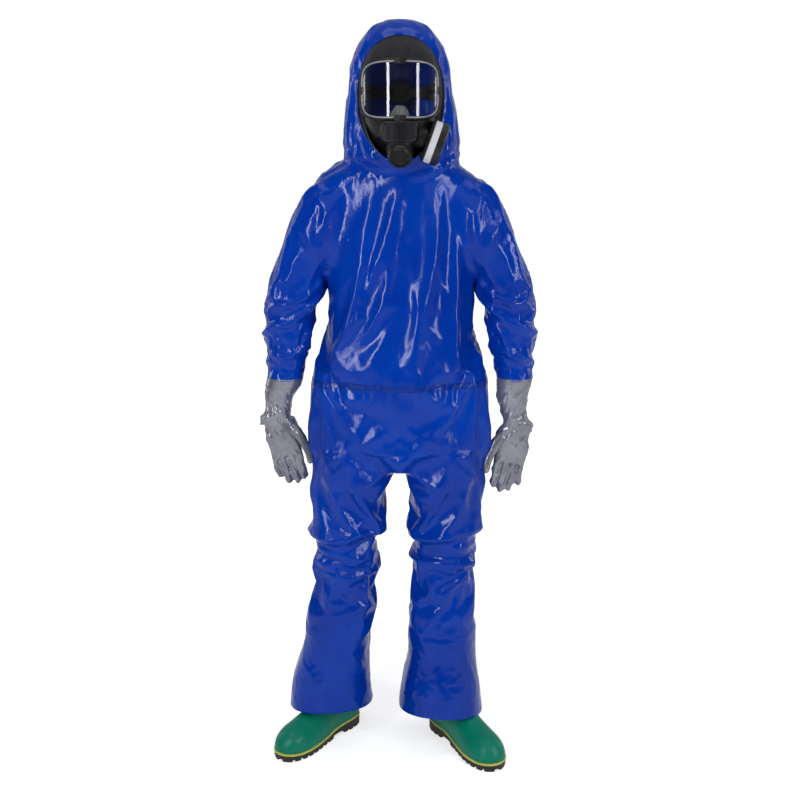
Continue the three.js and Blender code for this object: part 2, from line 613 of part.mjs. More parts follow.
// ---------------------------------------------------------------- gloves
function buildGlove(name, { side, stations, wristX, wristZ, handTilt }) {
  const gauntletTop = CUFF_Z - GAP;
  const shell = tube(stations.gauntlet, { count: 5, sides: 14 })
    .subtract(hollow(stations.gauntlet, { count: 5, sides: 14, wall: 2.5 }))
    .intersect(below(gauntletTop));
  const handUp = new THREE.Vector3(0, 0, 1)
    .applyAxisAngle(new THREE.Vector3(0, 1, 0), side * THREE.MathUtils.degToRad(handTilt));
  const palmTop = new THREE.Vector3(side * wristX, -14, wristZ).addScaledVector(handUp, GAP - 34);
  add(`glove_gauntlet_${name}`, shell.intersect(half(palmTop, handUp)), LOOK.glove);

  const tape = [at(side * 298, -6, CUFF_Z - 6, 48, 54), at(side * 297.4, -5.6, CUFF_Z + 6, 48.8, 54.8)];
  add(`cuff_tape_${name}`, tube(tape, { count: 2, sides: 14, grow: 2.6 })
    .subtract(tube(tape, { count: 2, sides: 14, grow: 1.4, over: 4 })), LOOK.glove);

  // The hand hangs down from the wrist, palm to the rear and thumb towards the body.
  const hand = new THREE.Group();
  hand.position.set(side * wristX, -14, wristZ);
  hand.rotation.y = side * THREE.MathUtils.degToRad(handTilt);
  suit.add(hand);
  const inward = -side;
  const palm = [at(0, -1, -31, 44, 29), at(inward * 2, -2, -62, 48, 27), at(0, -3, -104, 43, 19)];
  const knuckles = (radius, length) => solidOf(new THREE.CylinderGeometry(radius, radius, length, 16)
    .rotateZ(Math.PI / 2).translate(0, -3, HAND.knuckleZ));
  const thumbJoint = new THREE.Vector3(inward * HAND.thumbX, -14, HAND.thumbZ);
  const thumbBall = (radius) => solidOf(
    new THREE.SphereGeometry(radius, 12, 8).translate(thumbJoint.x, thumbJoint.y, thumbJoint.z));
  const palmShape = tube(palm, { count: 4, sides: 14 });
  const room = tube(palm, { count: 4, sides: 14, grow: -2.5, over: 6 }).intersect(above(HAND.knuckleZ + 17))
    .subtract(thumbBall(20));
  const palmSolid = palmShape.subtract(above(-34)).subtract(knuckles(13, 120)).subtract(room)
    .subtract(half(new THREE.Vector3(0, -3, HAND.knuckleZ + 6), new THREE.Vector3(0, 0.9, -1)))
    .subtract(thumbBall(17));
  add(`glove_palm_${name}`, palmSolid, LOOK.glove, hand);

  const fingers = HAND.fingers.map(([x, long, radius]) => {
    const spread = inward * x;
    const root = HAND.knuckleZ;
    const sections = [
      at(spread, -3, root, radius, 11.6),
      at(spread * 1.02, -2, root - 30, radius, 11.6),
      at(spread * 0.96, 3, root - long * 0.75, radius - 1, 10.5),
      at(spread * 0.9, 8, root - long, radius - 5, 6),
    ];
    return tube(sections, { count: 5, sides: 8, power: 2 });
  });
  add(`glove_fingers_${name}`, united([knuckles(12.3, 80), ...fingers]), LOOK.glove, hand);

  const thumb = [
    thumbJoint,
    new THREE.Vector3(thumbJoint.x + inward * 5, -20, -90),
    new THREE.Vector3(thumbJoint.x + inward * 7, -28, -122),
    new THREE.Vector3(thumbJoint.x + inward * 3, -33, -144),
  ];
  const thumbSizes = [15, 13.5, 12, 6];
  const thumbSolid = tube(thumb.map((p, i) => at(p.x, p.y, p.z, thumbSizes[i], thumbSizes[i])),
    { count: 6, sides: 10, power: 2 })
    .subtract(tube(palm, { count: 4, sides: 14, grow: 0.5 })).add(thumbBall(16.4));
  add(`glove_thumb_${name}`, thumbSolid, LOOK.glove, hand);
}

// ---------------------------------------------------------------- boots
// In a boot's own frame the back of the heel is at the origin and the toe points to -Y.
// The outer edge of the foot is on +X for the left boot, and `side` mirrors it for the right.
const FOOT_OUTLINE = [
  [0, 0], [27, -9], [37, -42], [38, -104], [50, -168], [55, -215], [47, -262], [24, -292],
  [-6, -302], [-34, -286], [-48, -248], [-48, -206], [-38, -150], [-32, -104], [-35, -42], [-26, -9],
];
const SOLE_TOP = [[30, 27], [-40, 27], [-84, 24], [-150, 15], [-262, 14], [-320, 18]];

function outlineShape(side, grow) {
  const points = FOOT_OUTLINE.map(([x, y]) => {
    const fromMiddle = new THREE.Vector2(x, y + BOOT.length / 2);
    const reach = 1 + grow / fromMiddle.length();
    return new THREE.Vector2(side * fromMiddle.x * reach, fromMiddle.y * reach - BOOT.length / 2);
  });
  return new THREE.Shape(new THREE.CatmullRomCurve3(points.map((p) => new THREE.Vector3(p.x, p.y, 0)), true)
    .getPoints(32).slice(0, -1).map((p) => new THREE.Vector2(p.x, p.y)));
}

const footPrint = (side, grow, height = 140) =>
  solidOf(new THREE.ExtrudeGeometry(outlineShape(side, grow), { depth: height, bevelEnabled: false }));

// Everything below a line drawn on the boot's side, given as [y, z] points, raised by `lift`.
function underProfile(line, lift, floor = -200) {
  const points = [...line.map(([y, z]) => new THREE.Vector2(y, z + lift)),
    new THREE.Vector2(line.at(-1)[0], floor), new THREE.Vector2(line[0][0], floor)];
  const geometry = new THREE.ExtrudeGeometry(new THREE.Shape(points), { depth: 240, bevelEnabled: false });
  const matrix = new THREE.Matrix4().set(0, 0, 1, -120, 1, 0, 0, 0, 0, 1, 0, 0, 0, 0, 0, 1);
  return solidOf(geometry.applyMatrix4(matrix));
}

function bootUpper(side, grow) {
  const zBase = 12;
  const section = (y, x, halfWidth, top) => at(side * x, y, zBase, halfWidth, top - zBase);
  const foot = [
    section(-1, 0, 26, 70),
    section(-15, 0, 34.5, 97),
    section(-46, 1, 38, 118),
    section(-92, 1, 37.5, 132),
    section(-134, 2, 40, 122),
    section(-176, 3, 46, 97),
    section(-216, 3, 50.5, 82),
    section(-252, 2, 48, 74),
    section(-280, -1, 37, 60),
    section(-297, -4, 17, 36),
  ];
  const shaft = [at(0, -52, 60, 36, 46), at(0, -62, 110, 42, 56), at(0, -66, 160, 48, 60),
    at(0, BOOT.shaftY + 6, 240, 55, 64), at(0, BOOT.shaftY + 6, BOOT.shaftTop, 59, 67)];
  return tube(foot, { count: 11, sides: 16, power: 2.5, grow, across: new THREE.Vector3(0, 0, 1) })
    .add(tube(shaft, { count: 5, sides: 16, power: 2, grow, over: grow < 0 ? 12 : 0 }));
}

function placeBoot(object, { heel, toesOut, side }) {
  object.position.set(heel[0], heel[1], FLOOR_Z);
  object.rotation.z = side * THREE.MathUtils.degToRad(toesOut);
}

// A boot a little larger than itself, in the suit's frame, to keep the trouser hem clear of it.
function bootClearance(leg) {
  const turned = new THREE.Object3D();
  placeBoot(turned, leg);
  turned.updateMatrix();
  return solidOf(geometryOf(bootUpper(leg.side, 3)).applyMatrix4(turned.matrix));
}

function buildBoot(name, leg) {
  const { side } = leg;
  const boot = new THREE.Group();
  placeBoot(boot, leg);
  suit.add(boot);
  const welt = 4.5;
  const onWelt = underProfile(SOLE_TOP, welt + 2 * GAP);
  const upper = bootUpper(side, 0).subtract(onWelt);
  const inside = bootUpper(side, -BOOT.wall).subtract(underProfile(SOLE_TOP, welt + 2 * GAP + 4));
  const shell = upper.subtract(inside);
  add(`boot_leg_${name}`, shell.intersect(above(BOOT.ankle)), LOOK.bootGreen, boot);
  add(`boot_foot_${name}`, shell.intersect(below(BOOT.ankle - GAP)), LOOK.bootGreen, boot);

  add(`boot_welt_${name}`, footPrint(side, 1.5).intersect(underProfile(SOLE_TOP, welt + GAP))
    .subtract(underProfile(SOLE_TOP, GAP)), LOOK.bootYellow, boot);

  let sole = footPrint(side, 0.5).intersect(underProfile(SOLE_TOP, 0))
    .subtract(archCut());
  for (const y of [-18, -40, -62, -138, -160, -182, -204, -226, -248, -270]) {
    sole = sole.subtract(boxAt(0, y, 0, 140, 6, 14));
  }
  add(`boot_outsole_${name}`, sole, LOOK.bootBlack, boot);
}

// The raised waist of the sole, between the heel block and the tread.
function archCut() {
  const profile = [[-78, -1], [-88, 12], [-112, 9], [-126, -1]];
  const shape = new THREE.Shape(profile.map(([y, z]) => new THREE.Vector2(y, z)));
  const geometry = new THREE.ExtrudeGeometry(shape, { depth: 200, bevelEnabled: false });
  const matrix = new THREE.Matrix4().set(0, 0, 1, -100, 1, 0, 0, 0, 0, 1, 0, 0, 0, 0, 0, 1);
  return solidOf(geometry.applyMatrix4(matrix));
}

// ---------------------------------------------------------------- rear entry zip
function buildZip() {
  const middle = (ZIP.bottom + ZIP.top) / 2;
  const length = ZIP.top - ZIP.bottom;
  const tapeY = BACK_Y + GAP;
  const bulge = 1.2; // the tape stands this far off the flat of the back
  add('zip_tape', boxAt(0, tapeY + bulge / 2, middle, ZIP.tapeWidth, bulge, length), LOOK.hardBlack);
  const chainY = tapeY + bulge + GAP;
  const chainThick = 3;
  let chain = boxAt(0, chainY + chainThick / 2, middle, ZIP.chainWidth, chainThick, length - 16);
  const toothPitch = 26;
  for (let z = ZIP.bottom + 20; z < ZIP.top - 16; z += toothPitch) {
    chain = chain.subtract(boxAt(0, chainY + chainThick, z, ZIP.chainWidth + 2, 1.6, toothPitch / 2));
  }
  for (const z of [ZIP.top - 8, ZIP.bottom + 8]) {
    chain = chain.add(boxAt(0, chainY + chainThick / 2, z, 10, chainThick, 4.5));
  }
  add('zip_chain', chain, LOOK.whitePlastic);
  const slider = { z: ZIP.top - 32, width: 15, height: 18, front: chainY + 0.2, thick: 6.4 };
  const body = boxAt(0, slider.front + slider.thick / 2, slider.z, slider.width, slider.thick, slider.height)
    .subtract(boxAt(0, chainY + chainThick / 2 - 2, slider.z,
      ZIP.chainWidth + 1.6, chainThick + 5.2, slider.height + 4));
  const outer = slider.front + slider.thick;
  const bridge = boxAt(0, outer + 2, slider.z + 2, 4, 4.2, 10)
    .subtract(boxAt(0, outer + 1.6, slider.z + 2, 6, 2.8, 5));
  add('zip_slider', body.add(bridge), LOOK.steel);
  const pullTop = slider.z + 2;
  const pull = boxAt(0, outer + 1.6, pullTop, 8, 1.6, 1.8)
    .add(boxAt(-4.5, outer + 1.6, pullTop - 5, 3, 1.6, 11.8))
    .add(boxAt(4.5, outer + 1.6, pullTop - 5, 3, 1.6, 11.8))
    .add(boxAt(0, outer + 1.6, pullTop - 24, 12, 1.6, 28));
  add('zip_pull', pull, LOOK.steel);
}

// ---------------------------------------------------------------- assembly
buildTorso();
buildTrousers();
buildWaistTape();
for (const [name, arm] of Object.entries(arms)) {
  buildSleeve(name, arm);
  buildGlove(name, arm);
}
buildHood();
buildFacepiece();
buildExhalation();
buildSpeechUnit();
buildNoseCup();
buildFilter();
buildHarness();
for (const [name, leg] of Object.entries(LEGS)) buildBoot(name, leg);
buildZip();

suit.position.copy(ORIGIN_SHIFT);

export default suit;
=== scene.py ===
"""A chemical protective suit: hooded laminate suit, bonded gloves, boots and full-face mask."""
import math

import bmesh
import bpy
import numpy as np
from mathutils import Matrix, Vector, noise


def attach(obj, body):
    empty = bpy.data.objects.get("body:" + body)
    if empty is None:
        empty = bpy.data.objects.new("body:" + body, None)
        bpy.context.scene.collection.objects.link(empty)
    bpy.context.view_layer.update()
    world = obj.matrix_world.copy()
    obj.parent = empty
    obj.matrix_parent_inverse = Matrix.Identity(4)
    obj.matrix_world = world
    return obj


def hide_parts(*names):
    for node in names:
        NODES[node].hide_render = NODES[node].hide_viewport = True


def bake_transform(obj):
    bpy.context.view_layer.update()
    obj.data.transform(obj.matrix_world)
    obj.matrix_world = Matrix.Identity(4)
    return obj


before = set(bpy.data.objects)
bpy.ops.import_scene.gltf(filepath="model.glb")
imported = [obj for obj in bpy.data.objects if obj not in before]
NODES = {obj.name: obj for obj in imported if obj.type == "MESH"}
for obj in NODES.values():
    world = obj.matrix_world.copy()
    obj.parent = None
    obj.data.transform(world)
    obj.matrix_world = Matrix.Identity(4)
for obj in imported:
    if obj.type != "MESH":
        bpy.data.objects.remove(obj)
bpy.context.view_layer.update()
SIDES = {"right": -1, "left": 1}

# The CAD model was drawn in millimetres about the body's own axis, then shifted onto the floor.
SHIFT = np.array((7.75, 25.925, 40.0))


def here(points):
    """Millimetres about the body's axis to metres in the row frame."""
    return (np.asarray(points, float) + SHIFT) * 0.001


def drawn(points):
    """Metres in the row frame back to millimetres about the body's axis."""
    return np.asarray(points, float) * 1000 - SHIFT


# ---------------------------------------------------------------- shapes
def curve(stations, count):
    """A smooth run of `count` samples through rows of numbers, the first three of which are a position."""
    s = np.asarray(stations, float)
    gaps = np.sqrt(np.linalg.norm(np.diff(s[:, :3], axis=0), axis=1))
    t = np.concatenate(([0], np.cumsum(gaps)))
    slope = np.gradient(s, t, axis=0)
    u = np.linspace(0, t[-1], count)
    k = np.clip(np.searchsorted(t, u, side="right") - 1, 0, len(t) - 2)
    h = (t[k + 1] - t[k])[:, None]
    f = ((u - t[k]) / (t[k + 1] - t[k]))[:, None]
    return (
        (2 * f**3 - 3 * f**2 + 1) * s[k]
        + (f**3 - 2 * f**2 + f) * h * slope[k]
        + (3 * f**2 - 2 * f**3) * s[k + 1]
        + (f**3 - f**2) * h * slope[k + 1]
    )


def tube(stations, count=24, sides=32, power=2.3, across=(0, 1, 0)):
    """A lofted tube in millimetres. Each station is x, y, z, half width and half depth."""
    rings = curve(stations, count)
    along = np.gradient(rings[:, :3], axis=0)
    along /= np.linalg.norm(along, axis=1)[:, None]
    across = np.asarray(across, float)
    deep = across - (along @ across)[:, None] * along
    deep /= np.linalg.norm(deep, axis=1)[:, None]
    wide = np.cross(deep, along)
    a = np.linspace(0, 2 * math.pi, sides, endpoint=False)
    c = np.sign(np.cos(a)) * np.abs(np.cos(a)) ** (2 / power)
    s = np.sign(np.sin(a)) * np.abs(np.sin(a)) ** (2 / power)
    points = (
        rings[:, None, :3]
        + wide[:, None, :] * (rings[:, 3][:, None] * c)[..., None]
        + deep[:, None, :] * (rings[:, 4][:, None] * s)[..., None]
    ).reshape(-1, 3)
    faces = [
        (r * sides + i, r * sides + (i + 1) % sides, (r + 1) * sides + (i + 1) % sides, (r + 1) * sides + i)
        for r in range(count - 1)
        for i in range(sides)
    ]
    faces.append(tuple(reversed(range(sides))))
    faces.append(tuple(range((count - 1) * sides, count * sides)))
    return points, faces


def joined(shapes):
    points, faces, start = [], [], 0
    for p, f in shapes:
        points.append(p)
        faces += [tuple(i + start for i in face) for face in f]
        start += len(p)
    return np.concatenate(points), faces


def mesh_object(name, points, faces):
    mesh = bpy.data.meshes.new(name)
    mesh.from_pydata([tuple(p) for p in points], [], faces)
    mesh.validate()
    mesh.update()
    obj = bpy.data.objects.new(name, mesh)
    bpy.context.scene.collection.objects.link(obj)
    return obj


def shade_smooth(obj):
    obj.data.polygons.foreach_set("use_smooth", [True] * len(obj.data.polygons))


def baked(obj):
    """The object's mesh with its modifiers applied."""
    graph = bpy.context.evaluated_depsgraph_get()
    mesh = bpy.data.meshes.new_from_object(obj.evaluated_get(graph))
    obj.modifiers.clear()
    old = obj.data
    obj.data = mesh
    bpy.data.meshes.remove(old)
    return obj


def remeshed(obj, size):
    modifier = obj.modifiers.new("remesh", "REMESH")
    modifier.mode = "VOXEL"
    modifier.voxel_size = size
    return baked(obj)


def triples(items, name):
    values = np.empty(len(items) * 3)
    items.foreach_get(name, values)
    return values.reshape(-1, 3)


def coords(mesh):
    return triples(mesh.vertices, "co")


def set_coords(mesh, co):
    mesh.vertices.foreach_set("co", np.ascontiguousarray(co, float).ravel())
    mesh.update()


def normals(mesh):
    return triples(mesh.vertices, "normal")


def edge_pairs(mesh):
    e = np.empty(len(mesh.edges) * 2, np.int32)
    mesh.edges.foreach_get("vertices", e)
    return e.reshape(-1, 2)


def open_edges(mesh):
    """The edges that only one face uses, as pairs of point numbers."""
    edges = edge_pairs(mesh)
    loops = np.empty(len(mesh.loops), np.int32)
    mesh.loops.foreach_get("edge_index", loops)
    return edges[np.bincount(loops, minlength=len(edges)) == 1]


def smoothed(mesh, rounds, fixed=None):
    """Moves each point half way to the middle of its neighbours, `rounds` times."""
    co, edges = coords(mesh), edge_pairs(mesh)
    count = np.bincount(edges.ravel(), minlength=len(co))[:, None].clip(1)
    for _ in range(rounds):
        total = np.zeros_like(co)
        np.add.at(total, edges[:, 0], co[edges[:, 1]])
        np.add.at(total, edges[:, 1], co[edges[:, 0]])
        moved = co + 0.5 * (total / count - co)
        co = moved if fixed is None else np.where(fixed[:, None], co, moved)
    set_coords(mesh, co)


# ---------------------------------------------------------------- the suit's sections
FLOOR_Z, HEM_Z, WAIST_Z, CUFF_Z, BACK_Y = -40, 48, 962, 972, 150


def backed(z, half_width, half_depth):
    return (0, BACK_Y - half_depth, z, half_width, half_depth)


TORSO = [
    backed(900, 234, 150), backed(WAIST_Z, 228, 149), backed(1010, 222, 147), backed(1065, 213, 145),
    backed(1130, 202, 143), backed(1200, 193, 141), backed(1290, 188, 140), backed(1370, 188, 134),
    (0, 24, 1430, 200, 124), (0, 22, 1468, 206, 114), (2, 18, 1492, 194, 102), (4, 14, 1512, 156, 96),
    (4, 12, 1530, 122, 94),
]
PELVIS = [
    backed(WAIST_Z, 230, 150), backed(900, 236, 152), backed(830, 235, 150), (0, 0, 790, 222, 136),
    (0, 0, 760, 150, 90),
]
HOOD = [
    (2, 14, 1490, 118, 100), (3, 12, 1520, 132, 116), (3, 10, 1548, 145, 128), (2, 12, 1590, 146, 132),
    (0, 16, 1650, 137, 134), (0, 16, 1700, 130, 133), (0, 16, 1753, 122, 127), (0, 15, 1795, 109, 113),
    (0, 14, 1830, 86, 90), (0, 13, 1851, 54, 57), (0, 12, 1860, 16, 17),
]
LEGS = {
    "right": dict(side=-1, hip=-122, knee=-143, hem=-189, heel=(-131, 80), out=39),
    "left": dict(side=1, hip=114, knee=116, hem=111, heel=(102, 52), out=31),
}
ARMS = {
    "right": dict(side=-1, wrist=(-321, -14, 876), tilt=12),
    "left": dict(side=1, wrist=(303, -14, 856), tilt=8),
}
SHAFT_Y = -76


def ankle_y(leg):
    return leg["heel"][1] + SHAFT_Y * math.cos(math.radians(leg["out"]))


def leg_stations(leg):
    hip, knee, hem, y = leg["hip"], leg["knee"], leg["hem"], ankle_y(leg)
    flare = hem - knee
    return [
        (hip * 0.92, 0, 870, 98, 124), (hip, -2, 752, 103, 124), ((hip + knee) / 2, -4, 640, 93, 110),
        (knee, -6, 545, 88, 98), (knee, -6, 450, 86, 96), (knee + flare * 0.35, y * 0.3 - 3, 330, 90, 98),
        (knee + flare * 0.68, y * 0.7, 210, 92, 104), (hem, y + 2, 110, 108, 122), (hem, y, 0, 118, 130),
    ]


def sleeve_stations(side):
    return [
        (side * 110, 14, 1430, 76, 82), (side * 158, 12, 1408, 86, 90), (side * 200, 11, 1358, 82, 92),
        (side * 233, 9, 1296, 72, 86), (side * 262, 7, 1230, 67, 78), (side * 278, 5, 1180, 68, 74),
        (side * 284, 4, 1120, 68, 70), (side * 289, 0, 1060, 61, 66), (side * 298, -6, CUFF_Z, 48, 54),
        (side * 300, -7, CUFF_Z - 40, 44, 50),
    ]


def suit_trunk():
    shapes = [tube(TORSO, 40, 48), tube(PELVIS, 16, 48), tube(HOOD, 40, 48, power=2.1)]
    return shapes + [tube(leg_stations(leg), 48, 40) for leg in LEGS.values()]


def suit_sleeves():
    return [tube(sleeve_stations(side), 36, 40) for side in (-1, 1)]


# ---------------------------------------------------------------- openings of the suit
OPENING = dict(x=2, z=1670, half_width=106, half_height=144)
ARMPIT_Z = 1292
SPREAD = 0.34  # the sleeves are moved this far out for each step down while the suit is joined up


def arm_line(z):
    """Half way between the torso's side and the spread sleeve."""
    return 196 + SPREAD / 2 * np.clip(ARMPIT_Z - z, 0, None)


def spread_sleeves(points):
    points = points.copy()
    points[:, 0] += np.sign(points[:, 0]) * SPREAD * np.clip(ARMPIT_Z - points[:, 2], 0, None)
    return points


def gather_sleeves(points):
    """Brings the spread sleeves back. Returns the points and which of them are on a sleeve."""
    past = np.abs(points[:, 0]) - arm_line(points[:, 2])
    share = np.clip((past + 12) / 24, 0, 1)
    share = np.where(points[:, 2] > CUFF_Z - 60, share, 0)
    points = points.copy()
    points[:, 0] -= np.sign(points[:, 0]) * share * SPREAD * np.clip(ARMPIT_Z - points[:, 2], 0, None)
    return points, (past > 0) & (points[:, 2] > CUFF_Z - 60)


def opening_reach(points):
    """How far out each point is from the middle of the face opening: 1 on its edge."""
    x = (points[:, 0] - OPENING["x"]) / OPENING["half_width"]
    z = (points[:, 2] - OPENING["z"]) / OPENING["half_height"]
    return (np.abs(x) ** 2.2 + np.abs(z) ** 2.2) ** (1 / 2.2)


def cut(obj, point, normal, inside):
    """Cuts off what lies past a plane, of the faces whose middle passes the test `inside`."""
    bm = bmesh.new()
    bm.from_mesh(obj.data)
    faces = [f for f in bm.faces if inside(drawn(f.calc_center_median()))]
    geometry = list({e for f in faces for e in list(f.verts) + list(f.edges)}) + faces
    bmesh.ops.bisect_plane(
        bm, geom=geometry, plane_co=Vector(here(point)), plane_no=Vector(normal), dist=1e-5, clear_outer=True
    )
    bmesh.ops.delete(bm, geom=[v for v in bm.verts if not v.link_faces], context="VERTS")
    bm.to_mesh(obj.data)
    bm.free()


def open_face(obj):
    """Cuts the face opening out of the hood, then puts its edge on the true outline."""
    co = drawn(coords(obj.data))
    inside = (opening_reach(co) < 1) & (co[:, 1] < 0) & (co[:, 2] > 1500)
    bm = bmesh.new()
    bm.from_mesh(obj.data)
    bm.verts.ensure_lookup_table()
    bmesh.ops.delete(bm, geom=[bm.verts[i] for i in np.flatnonzero(inside)], context="VERTS")
    for v in [v for v in bm.verts if v.is_boundary and v.co.z > 1.5]:
        p = drawn(v.co)
        reach = opening_reach(p[None])[0]
        p[0] = OPENING["x"] + (p[0] - OPENING["x"]) / reach
        p[2] = OPENING["z"] + (p[2] - OPENING["z"]) / reach
        v.co = Vector(here(p))
    bm.to_mesh(obj.data)
    bm.free()


def between_legs(z):
    """Where the gap between the legs lies: the hems are not centred under the body."""
    middle = (LEGS["right"]["hem"] + LEGS["left"]["hem"]) / 2
    return np.interp(z, (HEM_Z, 700), (middle, 0))


def hem_plane(leg):
    return (leg["hem"], ankle_y(leg), HEM_Z), Vector((leg["side"] * 0.05, 0.16, 1)).normalized()


def open_suit(obj):
    for leg in LEGS.values():
        point, up = hem_plane(leg)
        cut(obj, point, -up, lambda c, s=leg["side"]: c[2] < 240 and (c[0] - between_legs(c[2])) * s > 0)
    for side in (-1, 1):
        cut(
            obj, (0, 0, CUFF_Z - 6), (0, 0, -1),
            lambda c, s=side: 900 < c[2] < 1020 and c[0] * s > arm_line(c[2]),
        )
    open_face(obj)


# ---------------------------------------------------------------- draping
# Voxel and reach in metres. Least and most are the shares by which the cloth is larger than its form.
DRAPE = dict(voxel=0.0105, frames=24, least=0.02, most=0.07, reach=0.03, bending=3.0, gravity=0.5)


def stand_in():
    """A plain hidden form that holds the cloth up while it drapes. It is removed afterwards."""
    body = [
        (0, 26, 900, 190, 112), (0, 30, 1000, 176, 108), (0, 26, 1130, 164, 112), (0, 22, 1290, 168, 112),
        (0, 24, 1390, 180, 106), (0, 20, 1450, 194, 98), (0, 16, 1480, 180, 88), (0, 14, 1504, 132, 82),
        (0, 12, 1522, 96, 80),
    ]
    head = [
        (0, 16, 1500, 96, 96), (0, 18, 1600, 118, 116), (0, 18, 1720, 118, 120), (0, 16, 1790, 98, 102),
        (0, 14, 1834, 66, 70), (0, 13, 1852, 30, 32),
    ]
    shapes = [tube(body, 24, 32), tube(head, 20, 32, power=2)]
    for leg in LEGS.values():
        rows = [(x, y, z, w - 22, d - 24) for x, y, z, w, d in leg_stations(leg) if z > 150]
        shapes.append(tube(rows, 30, 28))
        boot_shaft, boot_faces = boot_upper_shapes(leg["side"])[1]
        shapes.append((boot_place(leg, boot_shaft), boot_faces))
    for side in (-1, 1):
        rows = [(x, y, z, w - 15, d - 17) for x, y, z, w, d in sleeve_stations(side)]
        shapes.append(tube(rows, 30, 28))
    points, faces = joined(shapes)
    return mesh_object("stand_in", here(points), faces)


def near(values, middle, reach):
    return np.exp(-(((values - middle) / reach) ** 2))


def slackness(co, arm):
    """Where the suit has more cloth than it needs: knees, elbows, waist, crotch and under the chin."""
    x, _, z = co.T
    legs = np.where(arm, 0, near(z, 535, 70) + 0.5 * near(z, 780, 60) + 0.35 * near(z, 300, 120))
    body = np.where(arm, 0, 0.45 * near(z, 965, 40) + 0.9 * near(z, 1525, 26) + 0.25 * near(z, 1250, 120))
    arms = np.where(arm, 0.55 + 0.5 * near(z, 1150, 70), 0)
    shoulders = 0.5 * near(np.abs(x), 200, 30) * near(z, 1390, 90)
    return np.clip(legs + body + arms + shoulders, 0, 1)


def held(co, obj):
    """The points that the drape leaves alone: the edges of the openings and the zip's strip."""
    hold = np.zeros(len(co), bool)
    hold[open_edges(obj.data).ravel()] = True
    x, y, z = co.T
    hold |= (np.abs(x) < 24) & (y > 90) & (z > 985) & (z < 1452)
    weight = hold.astype(float)
    weight = np.maximum(weight, np.clip((480 - z) / 400, 0, 1) * 0.75)
    on_sleeve = (np.abs(x) > arm_line(z) - 60) & (z > CUFF_Z - 20)
    return np.maximum(weight, np.where(on_sleeve, np.clip((CUFF_Z + 40 - z) / 40, 0, 1) * 0.9, 0))


def ridges(points, scale, seed):
    """Creases from noise: 1 on each crest, about -0.4 between. `scale` is their size along x, y and z."""
    stretched = points / np.asarray(scale, float) + seed
    field = np.array([noise.noise(Vector(p)) for p in stretched])
    return 1 - 1.4 * np.clip(2.6 * np.abs(field), 0, 1) ** (1 / 1.4)


def wave(z, crest, height):
    """A roll of cloth that has slid down: it swells towards the crest and tucks in sharply below it."""
    t = (z - crest) / height
    below = np.clip(1 + 4.5 * t, -0.5, 1) * np.exp(np.clip(t + 0.35, -9, 0) * 3)
    return np.where(t > 0, np.exp(-t * 1.3), below)


def turned(points, degrees):
    """Points turned in the XZ plane, so that creases made from them run at a slant."""
    c, s = math.cos(math.radians(degrees)), math.sin(math.radians(degrees))
    x, y, z = points.T
    return np.stack((x * c - z * s, y, x * s + z * c), 1)


def crease(obj, arm):
    """Gives the suit a stiff film's creases before it drapes: stacked at the knees, slanting elsewhere."""
    co = drawn(coords(obj.data))
    x, y, z = co.T
    side = np.sign(x)
    mirrored = np.stack((x * side, y, z), 1)
    leg = np.where(arm | (z > 800), 0, 1)
    knees = leg * near(z, 540, 55)
    sleeves = np.where(arm, 1, 0.6 * near(np.abs(x), 205, 40) * near(z, 1380, 80))
    chest = np.where(arm | (z > 1540), 0, near(z, 1220, 200))
    collar = np.where(y < 70, near(z - 0.0016 * x**2, 1500, 36), 0.3 * near(z, 1512, 30))
    swag = np.stack((x * 0.3, y * 0.3, z - 0.0022 * x**2), 1)
    slump = wave(z + 10 * np.sin(x / 38) + 0.10 * y, 566, 46)
    depth = (
        leg * 17.0 * slump
        + leg * 7.0 * near(z, 500, 40) * ridges(co, (170, 150, 34), 6.4)
        + knees * 9.0 * ridges(co, (150, 150, 40), 3.1)
        + knees * 8.0 * ridges(turned(mirrored, 40), (150, 110, 52), 7.7)
        + leg * (1 - 0.7 * knees) * 8.0 * ridges(turned(mirrored, -16), (96, 100, 380), 11.3)
        + leg * (1 - knees) * 6.0 * ridges(turned(mirrored, 38), (90, 100, 240), 41.7)
        + np.where(arm, 0, near(z, 780, 110)) * 11.0 * ridges(turned(mirrored, 50), (230, 120, 60), 1.9)
        + np.where(arm, 0, near(z, 820, 90)) * 6.0 * ridges(turned(mirrored, -38), (90, 110, 260), 51.2)
        + sleeves * 8.5 * ridges(turned(mirrored, 34), (120, 80, 62), 5.3)
        + sleeves * 7.0 * ridges(turned(mirrored, -26), (54, 70, 210), 9.1)
        + chest * 6.5 * ridges(turned(co, 8), (120, 160, 460), 13.7)
        + chest * 5.5 * ridges(turned(mirrored, -32), (96, 140, 330), 17.9)
        + chest * 4.0 * ridges(turned(co, 60), (120, 140, 260), 31.3)
        + np.where(arm, 0, near(z, 955, 34)) * 6.0 * ridges(co, (40, 60, 150), 4.4)
        + collar * 13.0 * ridges(swag, (80, 80, 40), 21.3)
        + np.where(z > 1560, 1, 0) * 5.0 * ridges(turned(mirrored, 20), (60, 60, 110), 25.7)
    )
    shift = normals(obj.data) * (depth - 4.0)[:, None]
    shift *= (1 - held(co, obj))[:, None]
    set_coords(obj.data, here(co + shift))


